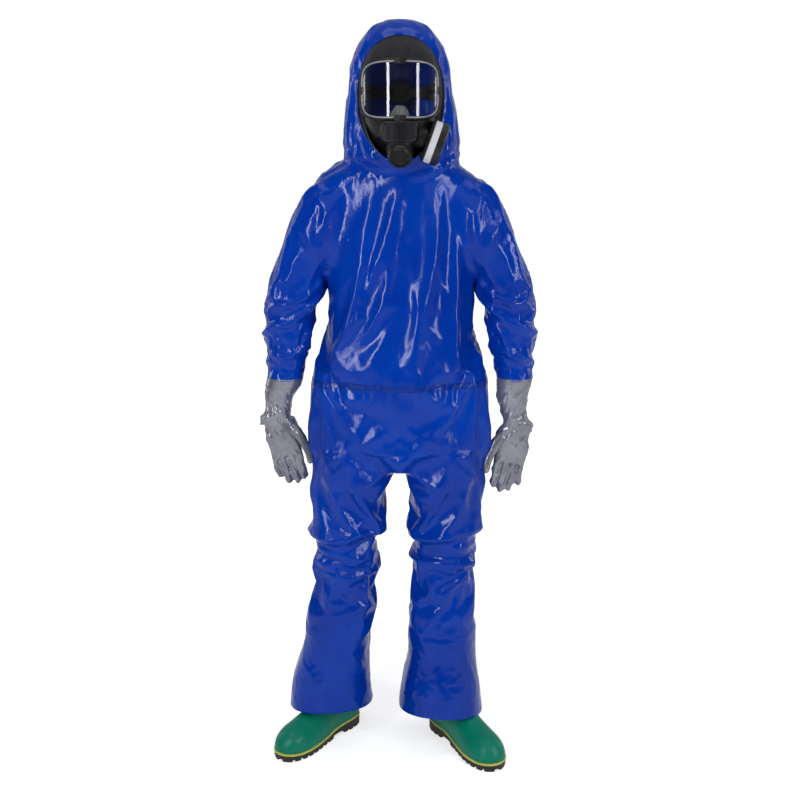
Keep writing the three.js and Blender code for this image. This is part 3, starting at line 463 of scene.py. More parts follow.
def drape(obj, arm):
    form = stand_in()
    form.modifiers.new("collision", "COLLISION")
    form.collision.thickness_outer = 0.004
    form.collision.cloth_friction = 10
    before = coords(obj.data)
    design = drawn(before)
    slack = slackness(design, arm)
    groups = {"slack": slack, "hold": held(design, obj)}
    for name, weights in groups.items():
        group = obj.vertex_groups.new(name=name)
        for i in np.flatnonzero(weights > 0.01):
            group.add([int(i)], float(weights[i]), "REPLACE")
    cloth = obj.modifiers.new("cloth", "CLOTH")
    s = cloth.settings
    s.quality = 6
    s.mass = 0.15
    s.air_damping = 2
    s.tension_stiffness = s.compression_stiffness = 40
    s.shear_stiffness = 14
    s.bending_stiffness = DRAPE["bending"]
    s.tension_damping = s.compression_damping = s.shear_damping = 6
    s.bending_damping = 0.5
    s.effector_weights.gravity = DRAPE["gravity"]
    s.vertex_group_mass = "hold"
    s.vertex_group_shrink = "slack"
    s.shrink_min = -DRAPE["least"]
    s.shrink_max = -DRAPE["most"]
    cloth.collision_settings.use_self_collision = False
    cloth.collision_settings.distance_min = 0.004
    cloth.collision_settings.collision_quality = 3
    cloth.point_cache.frame_start = 1
    cloth.point_cache.frame_end = DRAPE["frames"]
    for f in range(1, DRAPE["frames"] + 1):
        bpy.context.scene.frame_set(f)
    baked(obj)
    bpy.context.scene.frame_set(1)
    bpy.data.objects.remove(form)
    move = coords(obj.data) - before
    length = np.linalg.norm(move, axis=1)[:, None].clip(1e-9)
    limit = DRAPE["reach"] * np.tanh(length / DRAPE["reach"])
    set_coords(obj.data, before + move / length * limit)


def make_suit():
    sleeves = [(spread_sleeves(p), f) for p, f in suit_sleeves()]
    points, faces = joined(suit_trunk() + sleeves)
    suit = mesh_object("suit", here(points), faces)
    remeshed(suit, DRAPE["voxel"])
    smoothed(suit.data, 4)
    open_suit(suit)
    co, arm = gather_sleeves(drawn(coords(suit.data)))
    set_coords(suit.data, here(co))
    smoothed(suit.data, 2, fixed=np.abs(co[:, 2] - ARMPIT_Z + 20) > 60)
    on_arm = suit.data.attributes.new("on_arm", "INT", "FACE")
    starts = [arm[list(p.vertices)].mean() > 0.5 for p in suit.data.polygons]
    on_arm.data.foreach_set("value", np.array(starts, np.int32))
    crease(suit, arm)
    drape(suit, arm)
    divide = suit.modifiers.new("divide", "SUBSURF")
    divide.levels = divide.render_levels = 1
    baked(suit)
    return suit


# ---------------------------------------------------------------- the suit's pieces
def zone(start, direction, length):
    """A bend: the point where it starts, the way it runs and its length in millimetres."""
    direction = np.asarray(direction, float)
    direction = direction / np.linalg.norm(direction)
    return dict(start=np.asarray(start, float), direction=direction, length=length)


def past(points, bend):
    return (points - bend["start"]) @ bend["direction"]


def shoulder_bend(side):
    return zone((side * 190, 0, 1276), (side * 0.7, 0, -0.7), 72)


def hip_bend(side):
    return zone((0, 0, 770), (side * 0.5, 0, -0.866), 86)


# The heights, in millimetres, at which the suit is divided into its sections.
NECK_SEAM, HOOD_SEAM, ELBOW_SEAM, KNEE_SEAM = 1500, 1538, 1194, 566


def suit_regions(centres, on_arm):
    """The name of the section that each face of the suit belongs to."""
    side = np.where(centres[:, 0] < between_legs(centres[:, 2]), "right", "left")
    region = np.full(len(centres), "suit_torso", dtype=object)
    region[(centres[:, 2] > NECK_SEAM) & ~on_arm] = "suit_neck"
    region[(centres[:, 2] > HOOD_SEAM) & ~on_arm] = "suit_hood"
    for name, s in SIDES.items():
        mine = side == name
        sleeve = mine & (on_arm | (np.abs(centres[:, 0]) > 192)) & (past(centres, shoulder_bend(s)) > -6)
        sleeve &= centres[:, 2] > 900
        sleeve &= on_arm | (centres[:, 2] > 1255)
        region[sleeve] = "suit_shoulder_" + name
        region[sleeve & (centres[:, 2] < ELBOW_SEAM)] = "suit_forearm_" + name
        leg = mine & ~on_arm & (past(centres, hip_bend(s)) > -4) & (centres[:, 2] < 905)
        region[leg] = "suit_hip_" + name
        region[leg & (centres[:, 2] < KNEE_SEAM)] = "suit_shin_" + name
    return region


def part_of(obj, name, chosen, vertex_normals):
    """A new object of the chosen faces, which keeps the whole surface's shading at its edges."""
    mesh = obj.data
    co = coords(mesh)
    faces = [tuple(mesh.polygons[i].vertices) for i in np.flatnonzero(chosen)]
    used = sorted({v for f in faces for v in f})
    place = {v: i for i, v in enumerate(used)}
    new = mesh_object(name, co[used], [tuple(place[v] for v in f) for f in faces])
    shade_smooth(new)
    new.data.normals_split_custom_set_from_vertices([tuple(n) for n in vertex_normals[used]])
    return new


def face_centres(mesh):
    return drawn(triples(mesh.polygons, "center"))


def split(obj, regions):
    """Splits a surface into one object for each region's name."""
    vertex_normals = normals(obj.data)
    pieces = {name: part_of(obj, name, regions == name, vertex_normals) for name in sorted(set(regions))}
    bpy.data.objects.remove(obj)
    return pieces


def closing(obj, other, name):
    """A lining across the seam loop that one piece of the suit shares with another: a fan from its middle."""
    co = coords(obj.data)
    shared = {tuple(p) for p in np.round(coords(other.data), 6)}
    rim = [pair for pair in open_edges(obj.data) if all(tuple(np.round(co[v], 6)) in shared for v in pair)]
    used = sorted({v for pair in rim for v in pair})
    place = {v: i + 1 for i, v in enumerate(used)}
    points = np.concatenate((co[used].mean(0)[None, :], co[used]))
    lining = mesh_object(name, points, [(0, place[a], place[b]) for a, b in rim])
    shade_smooth(lining)
    return lining


def bent(piece):
    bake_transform(piece)


def finish_piece(piece, material, slot, *nodes):
    piece.data.materials.clear()
    piece.data.materials.append(material)
    if nodes:
        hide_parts(*nodes)


def band(obj, name, point, normal, half_width, lift, inside):
    """A strip of tape laid on a surface: a copy of the surface between two planes, lifted a little."""
    mesh = obj.data.copy()
    tape = bpy.data.objects.new(name, mesh)
    bpy.context.scene.collection.objects.link(tape)
    bm = bmesh.new()
    bm.from_mesh(mesh)
    normal = Vector(normal).normalized()
    centre = Vector(here(point))
    for sign in (-1, 1):
        geometry = list(bm.verts) + list(bm.edges) + list(bm.faces)
        edge = centre + normal * (sign * half_width * 0.001)
        bmesh.ops.bisect_plane(
            bm, geom=geometry, plane_co=edge, plane_no=normal * sign, dist=1e-6, clear_outer=True
        )
    drop = [f for f in bm.faces if not inside(drawn(f.calc_center_median()))]
    bmesh.ops.delete(bm, geom=drop, context="FACES")
    bmesh.ops.delete(bm, geom=[v for v in bm.verts if not v.link_faces], context="VERTS")
    bm.normal_update()
    for v in bm.verts:
        v.co += v.normal * lift * 0.001
    bm.to_mesh(mesh)
    bm.free()
    mesh.polygons.foreach_set("use_smooth", [True] * len(mesh.polygons))
    thick = tape.modifiers.new("thick", "SOLIDIFY")
    thick.thickness = lift * 0.0008
    thick.offset = -1
    return baked(tape)


def line_armhole(pieces, name, looks):
    """Closes the armhole on both sides of its seam, so that a raised arm shows no way in at the armpit."""
    torso, sleeve = pieces["suit_torso"], pieces["suit_shoulder_" + name]
    fixed = closing(torso, sleeve, "armhole_lining_" + name)
    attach(fixed, "torso")
    moving = closing(sleeve, torso, "armpit_gusset_" + name)
    bent(moving)
    for lining in (fixed, moving):
        finish_piece(lining, looks["laminate"], "suit_laminate")


def build_garment(looks):
    suit = make_suit()
    centres = face_centres(suit.data)
    on_arm = np.empty(len(suit.data.polygons), np.int32)
    suit.data.attributes["on_arm"].data.foreach_get("value", on_arm)
    waist = band(suit, "waist_tape", (0, 0, WAIST_Z), (0, 0, 1), 8, 0.7, lambda c: abs(c[0]) < 236 + 12)
    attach(waist, "torso")
    finish_piece(waist, looks["tape"], "seam_tape", "waist_seam_tape")
    pieces = split(suit, suit_regions(centres, on_arm > 0))
    for piece in pieces.values():
        piece.data.materials.append(looks["laminate"])
    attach(pieces["suit_torso"], "torso")
    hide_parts("torso_shell", "trouser_seat")
    bent(pieces["suit_neck"])
    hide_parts("neck_section")
    bent(pieces["suit_hood"])
    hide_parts("hood_shell")
    for name, side in SIDES.items():
        bent(pieces["suit_shoulder_" + name])
        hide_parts("shoulder_section_" + name, "upper_sleeve_" + name)
        line_armhole(pieces, name, looks)
        bent(pieces["suit_forearm_" + name])
        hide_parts("elbow_section_" + name, "lower_sleeve_" + name)
        bent(pieces["suit_hip_" + name])
        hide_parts("hip_section_" + name, "thigh_" + name)
        bent(pieces["suit_shin_" + name])
        shin_nodes = [n + name for n in ("knee_section_", "lower_leg_", "trouser_hem_")]
        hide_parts(*shin_nodes)
    return pieces


# ---------------------------------------------------------------- gloves
def hand_place(arm, points):
    """Points of the hand's own frame (wrist at the origin, fingers down) in the suit's frame."""
    a = arm["side"] * math.radians(arm["tilt"])
    x, y, z = np.asarray(points, float).T
    turned_points = np.stack((x * math.cos(a) + z * math.sin(a), y, -x * math.sin(a) + z * math.cos(a)), 1)
    return turned_points + np.array(arm["wrist"])


KNUCKLE_Z = -110
FINGERS = [(-33, 68, 9.8), (-11, 86, 10.3), (11, 94, 10.3), (33, 84, 10)]


def finger(spread, length, radius):
    rows = [
        (spread * 0.9, -3, KNUCKLE_Z + 18, radius, 12), (spread, -3, KNUCKLE_Z, radius, 11.6),
        (spread, -2, KNUCKLE_Z - length * 0.4, radius * 0.98, 11),
        (spread * 0.98, 4, KNUCKLE_Z - length * 0.75, radius * 0.95, 10.4),
        (spread * 0.96, 10, KNUCKLE_Z - length + 4, radius * 0.76, 8.4),
        (spread * 0.95, 11.4, KNUCKLE_Z - length, 3, 3.6),
    ]
    return tube(rows, 22, 18, power=2.2)


def glove_shapes(arm):
    side, (wx, wy, wz) = arm["side"], arm["wrist"]
    inward = -side
    gauntlet = [
        (side * 298, -6, CUFF_Z + 12, 44, 50), (side * 298, -6, CUFF_Z, 45, 51),
        (wx - side * 10, -10, wz + 52, 41, 44),
        (wx, -14, wz, 35, 34), (wx + side * 2, -16, wz - 34, 43, 30),
    ]
    palm = [
        (0, -1, -20, 40, 30), (0, -1, -31, 43, 29), (inward * 2, -2, -62, 47, 26),
        (0, -3, -100, 43, 19), (0, -3, -118, 42, 14),
    ]
    shapes = [tube(palm, 16, 32)] + [finger(inward * x, long, radius) for x, long, radius in FINGERS]
    placed = [(hand_place(arm, p), f) for p, f in shapes]
    return [tube(gauntlet, 24, 36)] + placed


def thumb_shape(arm):
    inward = -arm["side"]
    rows = [
        (inward * 26, -8, -44, 17, 15), (inward * 42, -14, -62, 15.5, 15),
        (inward * 53, -21, -90, 12.6, 12.8),
        (inward * 60, -28, -120, 11.4, 11.6), (inward * 59, -32, -140, 9, 9), (inward * 58, -33, -147, 3, 3),
    ]
    points, faces = tube(rows, 22, 20, power=2.1)
    return hand_place(arm, points), faces


def crumple(obj, scale, amount, seed, slant):
    """Long sharp creases of a stiff film that run at a slant, with a few short ones across them."""
    co = coords(obj.data) * 1000
    depth = amount * (
        ridges(turned(co, slant), (scale * 0.5, scale * 1.1, scale * 3.2), seed)
        + 0.8 * ridges(turned(co, slant * 0.5), (scale * 0.34, scale * 0.8, scale * 2.4), seed + 4)
        + 0.35 * ridges(turned(co, -slant), (scale * 0.8, scale, scale * 1.2), seed + 8)
    )
    below_cuff = np.clip((CUFF_Z - 12 - (co - SHIFT)[:, 2]) / 40, 0, 1)
    set_coords(obj.data, (co + normals(obj.data) * ((depth - amount * 0.8) * below_cuff)[:, None]) * 0.001)
    smoothed(obj.data, 2)


def gather_wrist(obj, arm):
    """A fold that stands out where the gauntlet has slid down onto the wrist."""
    co = coords(obj.data) * 1000
    local = local_to_hand(arm, co - SHIFT)
    outer = np.clip(local[:, 0] * arm["side"] / 36, -1, 1)
    fold = near(local[:, 2], 2 - 9 * outer, 9) * (3.5 + 4.5 * outer) - 3.5 * near(local[:, 2], 26, 14)
    set_coords(obj.data, (co + normals(obj.data) * fold[:, None]) * 0.001)


def local_to_hand(arm, points):
    a = -arm["side"] * math.radians(arm["tilt"])
    x, y, z = (points - np.array(arm["wrist"])).T
    return np.stack((x * math.cos(a) + z * math.sin(a), y, -x * math.sin(a) + z * math.cos(a)), 1)


def build_gloves(looks):
    for name, arm in ARMS.items():
        points, faces = joined(glove_shapes(arm))
        glove = mesh_object("glove", here(points), faces)
        remeshed(glove, 0.0028)
        smoothed(glove.data, 3)
        cut(glove, (0, 0, CUFF_Z - 1), (0, 0, 1), lambda c: c[2] > CUFF_Z - 40)
        gather_wrist(glove, arm)
        crumple(glove, 36, 2.6, 2.7 if arm["side"] > 0 else 8.1, arm["side"] * 36)
        local = local_to_hand(arm, face_centres(glove.data))
        region = np.full(len(local), "glove_palm_skin_" + name, dtype=object)
        region[local[:, 2] > -34] = "glove_gauntlet_skin_" + name
        region[local[:, 2] < -92] = "glove_fingers_skin_" + name
        pieces = split(glove, region)
        points, faces = thumb_shape(arm)
        thumb = mesh_object("glove_thumb_skin_" + name, here(points), faces)
        remeshed(thumb, 0.0028)
        smoothed(thumb.data, 3)
        crumple(thumb, 24, 1.2, 5.5, arm["side"] * 20)
        shade_smooth(thumb)
        gauntlet = pieces["glove_gauntlet_skin_" + name]
        cuff = band(
            gauntlet, "glove_cuff_band_" + name, (0, 0, CUFF_Z - 14), (0, 0, 1), 12, 1.3, lambda c: True
        )
        bent(gauntlet)
        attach(pieces["glove_palm_skin_" + name], "hand_" + name)
        fingers = pieces["glove_fingers_skin_" + name]
        bent(fingers)
        bent(thumb)
        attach(cuff, "forearm_" + name)
        finish_piece(gauntlet, looks["silver"], "glove_laminate", "glove_gauntlet_" + name)
        palm = pieces["glove_palm_skin_" + name]
        finish_piece(palm, looks["silver"], "glove_laminate", "glove_palm_" + name)
        finish_piece(fingers, looks["silver"], "glove_laminate", "glove_fingers_" + name)
        finish_piece(thumb, looks["silver"], "glove_laminate", "glove_thumb_" + name)
        finish_piece(cuff, looks["silver"], "glove_laminate", "cuff_tape_" + name)


# ---------------------------------------------------------------- boots
FOOT_OUTLINE = [
    (0, 0), (27, -9), (37, -42), (38, -104), (50, -168), (55, -215), (47, -262), (24, -292), (-6, -302),
    (-34, -286), (-48, -248), (-48, -206), (-38, -150), (-32, -104), (-35, -42), (-26, -9),
]
SOLE_TOP = np.array([(-320, 18), (-262, 14), (-150, 15), (-84, 24), (-40, 27), (30, 27)], float)
BOOT_LENGTH = 302


def boot_place(leg, points):
    a = leg["side"] * math.radians(leg["out"])
    x, y, z = np.asarray(points, float).T
    return np.stack((
        x * math.cos(a) - y * math.sin(a) + leg["heel"][0],
        x * math.sin(a) + y * math.cos(a) + leg["heel"][1],
        z + FLOOR_Z,
    ), 1)


def sole_top(y):
    return np.interp(y, SOLE_TOP[:, 0], SOLE_TOP[:, 1])


def outline(side, grow, count=120):
    """The sole's outline as a smooth closed line, grown outwards."""
    p = np.array(FOOT_OUTLINE, float)
    ring = np.concatenate((p[-3:], p, p[:4]))
    gaps = np.linalg.norm(np.diff(ring, axis=0), axis=1) ** 0.5
    t = np.concatenate(([0], np.cumsum(gaps)))
    rows = np.concatenate((ring, np.zeros((len(ring), 1))), 1)
    slope = np.gradient(rows, t, axis=0)
    u = np.linspace(t[3], t[3 + len(p)], count, endpoint=False)
    k = np.clip(np.searchsorted(t, u, side="right") - 1, 0, len(t) - 2)
    h, f = (t[k + 1] - t[k])[:, None], ((u - t[k]) / (t[k + 1] - t[k]))[:, None]
    line = (
        (2 * f**3 - 3 * f**2 + 1) * rows[k] + (f**3 - 2 * f**2 + f) * h * slope[k]
        + (3 * f**2 - 2 * f**3) * rows[k + 1] + (f**3 - f**2) * h * slope[k + 1]
    )[:, :2]
    step = np.roll(line, -1, 0) - np.roll(line, 1, 0)
    out = np.stack((step[:, 1], -step[:, 0]), 1)
    out /= np.linalg.norm(out, axis=1)[:, None]
    middle = line - np.array((0, -BOOT_LENGTH / 2))
    if (out * middle).sum() < 0:
        out = -out
    line = line + out * grow
    return line * np.array((side, 1))


def rings_to_mesh(rings, cap_last=False, cap_first=False):
    count = len(rings[0])
    points = np.concatenate(rings)
    faces = [
        (r * count + i, r * count + (i + 1) % count, (r + 1) * count + (i + 1) % count, (r + 1) * count + i)
        for r in range(len(rings) - 1)
        for i in range(count)
    ]
    if cap_first:
        faces.append(tuple(reversed(range(count))))
    if cap_last:
        faces.append(tuple(range((len(rings) - 1) * count, len(rings) * count)))
    return points, faces


def outward(obj):
    bm = bmesh.new()
    bm.from_mesh(obj.data)
    bmesh.ops.recalc_face_normals(bm, faces=bm.faces)
    bm.to_mesh(obj.data)
    bm.free()
    return obj


def ring_at(side, grow, heights):
    line = outline(side, grow)
    return np.column_stack((line, heights(line[:, 1])))


def welt_mesh(side):
    """A bead of rubber along the top of the sole."""
    profile = [(-6, 0.2), (0.4, 0.2), (2.6, 1.4), (3.2, 3.0), (2.4, 4.4), (0.2, 5.2), (-6, 5.2)]
    rings = [ring_at(side, grow, lambda y, lift=lift: sole_top(y) + lift) for grow, lift in profile]
    return rings_to_mesh(rings + rings[:1])


def tread(y):
    """The height of the sole's under side: grooves across the tread and a raised waist before the heel."""
    groove = np.abs(((y + 7) / 22) % 1 - 0.5) < 0.14
    waist = (y < -80) & (y > -124)
    return np.where(waist, 9.0, np.where(groove & ((y < -130) | (y > -76)), 7.0, 0.0))


def outsole_mesh(side):
    line = outline(side, 0, 360)
    heights = tread(line[:, 1])
    top = sole_top(line[:, 1])

    def ring(grow, z):
        return np.column_stack((outline(side, grow, 360), z))

    rings = [
        ring(-2, top), ring(1.4, top), ring(1.8, top - 2),
        ring(1.2, np.maximum(heights, 4)), ring(0.2, heights), ring(-9, heights),
    ]
    return rings_to_mesh(rings, cap_last=True, cap_first=True)


def boot_upper_shapes(side):
    def section(y, x, half_width, top):
        return (side * x, y, 12, half_width, top - 12)

    foot = [
        section(-1, 0, 26, 70), section(-15, 0, 34.5, 97), section(-46, 1, 38, 118),
        section(-92, 1, 37.5, 132),
        section(-134, 2, 40, 122), section(-176, 3, 46, 97), section(-216, 3, 50.5, 82),
        section(-252, 2, 48, 74),
        section(-280, -1, 37, 60), section(-297, -4, 17, 36),
    ]
    shaft = [
        (0, -52, 60, 36, 46), (0, -62, 110, 42, 56), (0, -66, 160, 48, 60), (0, -70, 240, 55, 64),
        (0, -70, 330, 58, 66),
    ]
    return [tube(foot, 40, 40, power=2.4, across=(0, 0, 1)), tube(shaft, 24, 40, power=2)]


def tucked_in(points, side):
    """The boot's points with the foot's lower edge drawn in to stay inside the sole's outline."""
    line = outline(side, -1.5)
    y = np.linspace(line[:, 1].min() + 2, line[:, 1].max() - 2, 80)
    across = [line[np.abs(line[:, 1] - at) < 6, 0] for at in y]
    least = np.interp(points[:, 1], y, [x.min() for x in across])
    most = np.interp(points[:, 1], y, [x.max() for x in across])
    low = np.clip((56 - points[:, 2]) / 24, 0, 1)
    x = points[:, 0]
    return np.column_stack((x + (np.clip(x, least, most) - x) * low, points[:, 1:]))


def build_boots(looks):
    for name, leg in LEGS.items():
        side = leg["side"]
        points, faces = joined(boot_upper_shapes(side))
        upper = mesh_object("boot_upper_" + name, here(boot_place(leg, tucked_in(points, side))), faces)
        remeshed(upper, 0.0042)
        smoothed(upper.data, 6)
        cut(upper, (0, 0, FLOOR_Z + 10), (0, 0, -1), lambda c: c[2] < 20)
        cut(upper, (0, 0, FLOOR_Z + 326), (0, 0, 1), lambda c: c[2] > 200)
        shade_smooth(upper)
        bent(upper)
        finish_piece(upper, looks["boot_green"], "boot_green", "boot_leg_" + name, "boot_foot_" + name)
        soles = (("welt", welt_mesh(side), "boot_yellow"), ("outsole", outsole_mesh(side), "boot_black"))
        for part, mesh, look in soles:
            points, faces = mesh
            piece = outward(mesh_object(f"boot_{part}_skin_{name}", here(boot_place(leg, points)), faces))
            piece.data.polygons.foreach_set("use_smooth", [part == "welt"] * len(piece.data.polygons))
            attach(piece, "foot_" + name)
            finish_piece(piece, looks[look], look, f"boot_{part}_{name}")


# ---------------------------------------------------------------- mask
BARREL_Y = -50
LENS = dict(half_width=91, middle=1683.5, half_height=64, power=4.6)
FACE_OUTLINE = [
    (0, 1757), (52, 1755), (84, 1742), (95, 1705), (94, 1650), (86, 1598), (66, 1552), (38, 1522), (0, 1510),
]
CHIN = dict(at=(0, -146, 1534), axis=(0, -0.848, -0.53), up=(0, -0.53, 0.848))
FILTER = dict(at=(84, -122, 1561), axis=(0.9404, 0, -0.3401), up=(0.3401, 0, 0.9404))
FILTER_PROFILE = [
    (17, -34), (17, -21), (45, -21), (49.5, -19.6), (52, -16.5), (52, -13.4), (50.4, -13.4), (50.4, 3.4),
    (52, 3.4),
    (52, 14), (51.2, 18), (48, 20.6), (45, 21), (43, 21), (43, 18), (39, 18), (39, 21), (35, 21), (35, 18),
    (31, 18),
    (31, 21), (27, 21), (27, 18), (12, 18), (12, 20), (2, 20.4),
]


def on_barrel(x, z, radius):
    """Points of the mask's round front, `radius` away from its upright axis."""
    x, z = np.broadcast_arrays(np.asarray(x, float), np.asarray(z, float))
    return np.stack((x, BARREL_Y - np.sqrt(radius**2 - x**2), z), -1)


def lens_edge(grow, radius, start=0.0, turn=2 * math.pi, count=180, scale=1.0):
    a = start + np.linspace(0, turn, count, endpoint=turn < 6)
    x = np.sign(np.cos(a)) * np.abs(np.cos(a)) ** (2 / LENS["power"])
    z = np.sign(np.sin(a)) * np.abs(np.sin(a)) ** (2 / LENS["power"])
    half_width, half_height = LENS["half_width"] + grow, LENS["half_height"] + grow
    return on_barrel(x * half_width * scale, LENS["middle"] + z * half_height * scale, radius)


def rod(path, radius, across, sides=10, closed=False):
    """A round bar along a path. `across` is any direction that never runs along the path."""
    path = np.asarray(path, float)
    along = np.roll(path, -1, 0) - np.roll(path, 1, 0) if closed else np.gradient(path, axis=0)
    along /= np.linalg.norm(along, axis=1)[:, None]
    across = np.broadcast_to(np.asarray(across, float), path.shape)
    deep = across - (across * along).sum(1)[:, None] * along
    deep /= np.linalg.norm(deep, axis=1)[:, None]
    wide = np.cross(deep, along)
    a = np.linspace(0, 2 * math.pi, sides, endpoint=False)
    rings = [
        p + radius * (np.outer(np.cos(a), w) + np.outer(np.sin(a), d))
        for p, w, d in zip(path, wide, deep)
    ]
    return rings_to_mesh(rings + rings[:1] if closed else rings, cap_first=not closed, cap_last=not closed)


def turned_shape(place, profile, sides):
    """A shape turned about an axis, from rows of radius and distance along the axis."""
    axis, up = np.array(place["axis"], float), np.array(place["up"], float)
    side = np.cross(axis, up)
    a = np.linspace(0, 2 * math.pi, sides, endpoint=False)
    spokes = np.outer(np.cos(a), side) + np.outer(np.sin(a), up)
    return rings_to_mesh([np.array(place["at"]) + axis * t + spokes * r for r, t in profile], True, True)


def along_axis(place, rows):
    axis, at = np.array(place["axis"], float), np.array(place["at"], float)
    return [(*(at + axis * t), r, r) for t, r in rows]


def outward_of_barrel(path):
    away = np.array(path) - np.array((0, BARREL_Y, 0))
    away[:, 2] = 0
    return away


def mask_piece(name, shape, look, looks, node, body="head", smooth=True, angle=38):
    piece = outward(mesh_object(name, here(shape[0]), shape[1]))
    piece.data.polygons.foreach_set("use_smooth", [smooth] * len(piece.data.polygons))
    piece.data.set_sharp_from_angle(angle=math.radians(angle))
    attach(piece, body)
    finish_piece(piece, looks[look], look, node)
    return piece


def face_skin(looks):
    """The facepiece: a rounded jaw with a flat for the speech unit, the chin outlet and the filter's port."""
    jaw = [
        (0, -50, 1640, 93, 98), (0, -50, 1612, 93, 99), (0, -52, 1590, 88, 98), (0, -56, 1568, 78, 95),
        (0, -62, 1547, 64, 90), (0, -72, 1529, 46, 80), (0, -84, 1517, 28, 62),
    ]
    plateau = [
        (0, -100, 1586, 50, 36), (0, -142, 1586, 46, 30), (0, -156, 1587, 41, 25), (0, -159, 1587, 38, 22),
    ]
    shapes = [
        tube(jaw, 40, 56, power=2.15),
        tube(plateau, 20, 48, power=3.4, across=(0, 0, 1)),
        tube(
            along_axis(CHIN, [(-52, 40), (-20, 34), (-6, 31.5), (0, 31)]), 16, 48, power=2, across=(1, 0, 0)
        ),
        tube(along_axis(FILTER, [(-72, 32), (-50, 27), (-32, 24), (-22.5, 24)]), 16, 40, power=2),
    ]
    points, faces = joined(shapes)
    skin = mesh_object("mask_skin", here(points), faces)
    remeshed(skin, 0.0024)
    smoothed(skin.data, 4)
    cut(skin, (0, -62, 0), (0, 1, 0), lambda c: True)
    cut(skin, (0, 0, 1622), (0, 0, 1), lambda c: True)
    path = lens_edge(2.5, 99)
    rim, rim_faces = rod(path, 5.2, outward_of_barrel(path), 14, closed=True)
    rim_object = mesh_object("rim", here(rim), rim_faces)
    thick = skin.modifiers.new("thick", "SOLIDIFY")
    thick.thickness = 0.0025
    baked(skin)
    merged = bmesh.new()
    merged.from_mesh(skin.data)
    merged.from_mesh(rim_object.data)
    merged.to_mesh(skin.data)
    merged.free()
    bpy.data.objects.remove(rim_object)
    outward(skin)
    shade_smooth(skin)
    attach(skin, "head")
    finish_piece(skin, looks["mask_rubber"], "mask_rubber", "mask_facepiece")


def build_lens(looks):
    rings = [lens_edge(0, 103, scale=k) for k in np.linspace(1, 0.03, 26)]
    points, faces = rings_to_mesh(rings, True)
    lens = outward(mesh_object("lens_sheet_skin", here(points), faces))
    shade_smooth(lens)
    thick = lens.modifiers.new("thick", "SOLIDIFY")
    thick.thickness = 0.003
    thick.offset = -1
    baked(lens)
    lens.visible_shadow = False
    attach(lens, "head")
    finish_piece(lens, looks["lens_clear"], "lens_clear", "mask_lens")
    for name, start in (("upper", 0.012), ("lower", math.pi + 0.012)):
        path = lens_edge(0.2, 104.2, start, math.pi - 0.024, 90)
        bead = rod(path, 2.0, outward_of_barrel(path))
        mask_piece("lens_bead_" + name, bead, "frame_grey", looks, "lens_frame_" + name)


def hood_front(x, z):
    rows = np.array(HOOD, float)
    middle, width, depth = (np.interp(z, rows[:, 2], rows[:, k]) for k in (1, 3, 4))
    return middle - depth * np.clip(1 - np.abs(x / width) ** 2.1, 0.02, 1) ** (1 / 2.1)


def build_gasket(looks):
    """The stretchy inner face seal: from under the hood's edge in to the facepiece."""
    a = np.linspace(0, 2 * math.pi, 144, endpoint=False)
    half = np.array(FACE_OUTLINE, float)
    line = np.concatenate((half, half[-2:0:-1] * (-1, 1)))
    angles = np.unwrap(np.arctan2(line[:, 1] - 1640, line[:, 0]))
    order = np.argsort(angles % (2 * math.pi))
    edge_reach = np.linalg.norm(line - (0, 1640), axis=1)
    reach = np.interp(a, angles[order] % (2 * math.pi), edge_reach[order], period=2 * math.pi)
    inner_x, inner_z = reach * np.cos(a) * 0.95, 1640 + reach * np.sin(a) * 0.97
    inner = on_barrel(np.clip(inner_x, -92, 92), inner_z, 97)
    power = 2 / 2.2
    outer_x = OPENING["x"] + 108 * np.sign(np.cos(a)) * np.abs(np.cos(a)) ** power
    outer_z = OPENING["z"] + 149 * np.sign(np.sin(a)) * np.abs(np.sin(a)) ** power
    outer = np.stack((outer_x, hood_front(outer_x, outer_z) + 15, outer_z), 1)
    rings = [inner + (0, 14, 0)]
    for t in np.linspace(0, 1, 15):
        ring = inner * (1 - t) + outer * t
        ring[:, 1] -= 9 * math.sin(math.pi * t) * np.clip((ring[:, 2] - 1600) / 120, 0, 1)
        rings.append(ring)
    tucked = (outer - (OPENING["x"], 0, OPENING["z"])) * (1.0, 1, 1.02) + (OPENING["x"], 16, OPENING["z"])
    rings.append(tucked)
    mask_piece("gasket_skin", rings_to_mesh(rings), "neoprene", looks, "face_gasket")


def build_harness(looks):
    """Rubber straps from the facepiece round to a pad at the back of the head, clear of the hood."""
    pad = dict(at=(0, 100, 1690), axis=(0, 1, 0), up=(0, 0, 1))
    shapes = [turned_shape(pad, [(0.5, -1.5), (30, -1.5), (30, 1.5), (0.5, 1.5)], 48)]
    for side in (-1, 1):
        for height in (1726, 1644):
            path = [
                (side * 84, -50, height, 1.3, 8), (side * 92, 4, height * 0.5 + 847, 1.3, 8),
                (side * 76, 64, height * 0.25 + 1268, 1.3, 8), (side * 18, 99, 1690, 1.3, 8),
            ]
            shapes.append(tube(path, 24, 16, power=6, across=(0, 0, 1)))
    mask_piece("harness_skin", joined(shapes), "mask_rubber", looks, "head_harness")


def build_mask(looks):
    build_harness(looks)
    face_skin(looks)
    build_lens(looks)
    build_gasket(looks)
    build_speech_unit(looks)
    build_exhalation_cover(looks)
    canister = turned_shape(FILTER, FILTER_PROFILE, 96)
    mask_piece("filter_skin", canister, "hard_black", looks, "filter_canister", "filter")
    strip = [(50.5, -13), (51.1, -13), (51.1, 3), (50.5, 3)]
    axis_rings = turned_shape(FILTER, strip, 96)
    mask_piece("filter_label_skin", axis_rings, "label", looks, "filter_label", "filter")


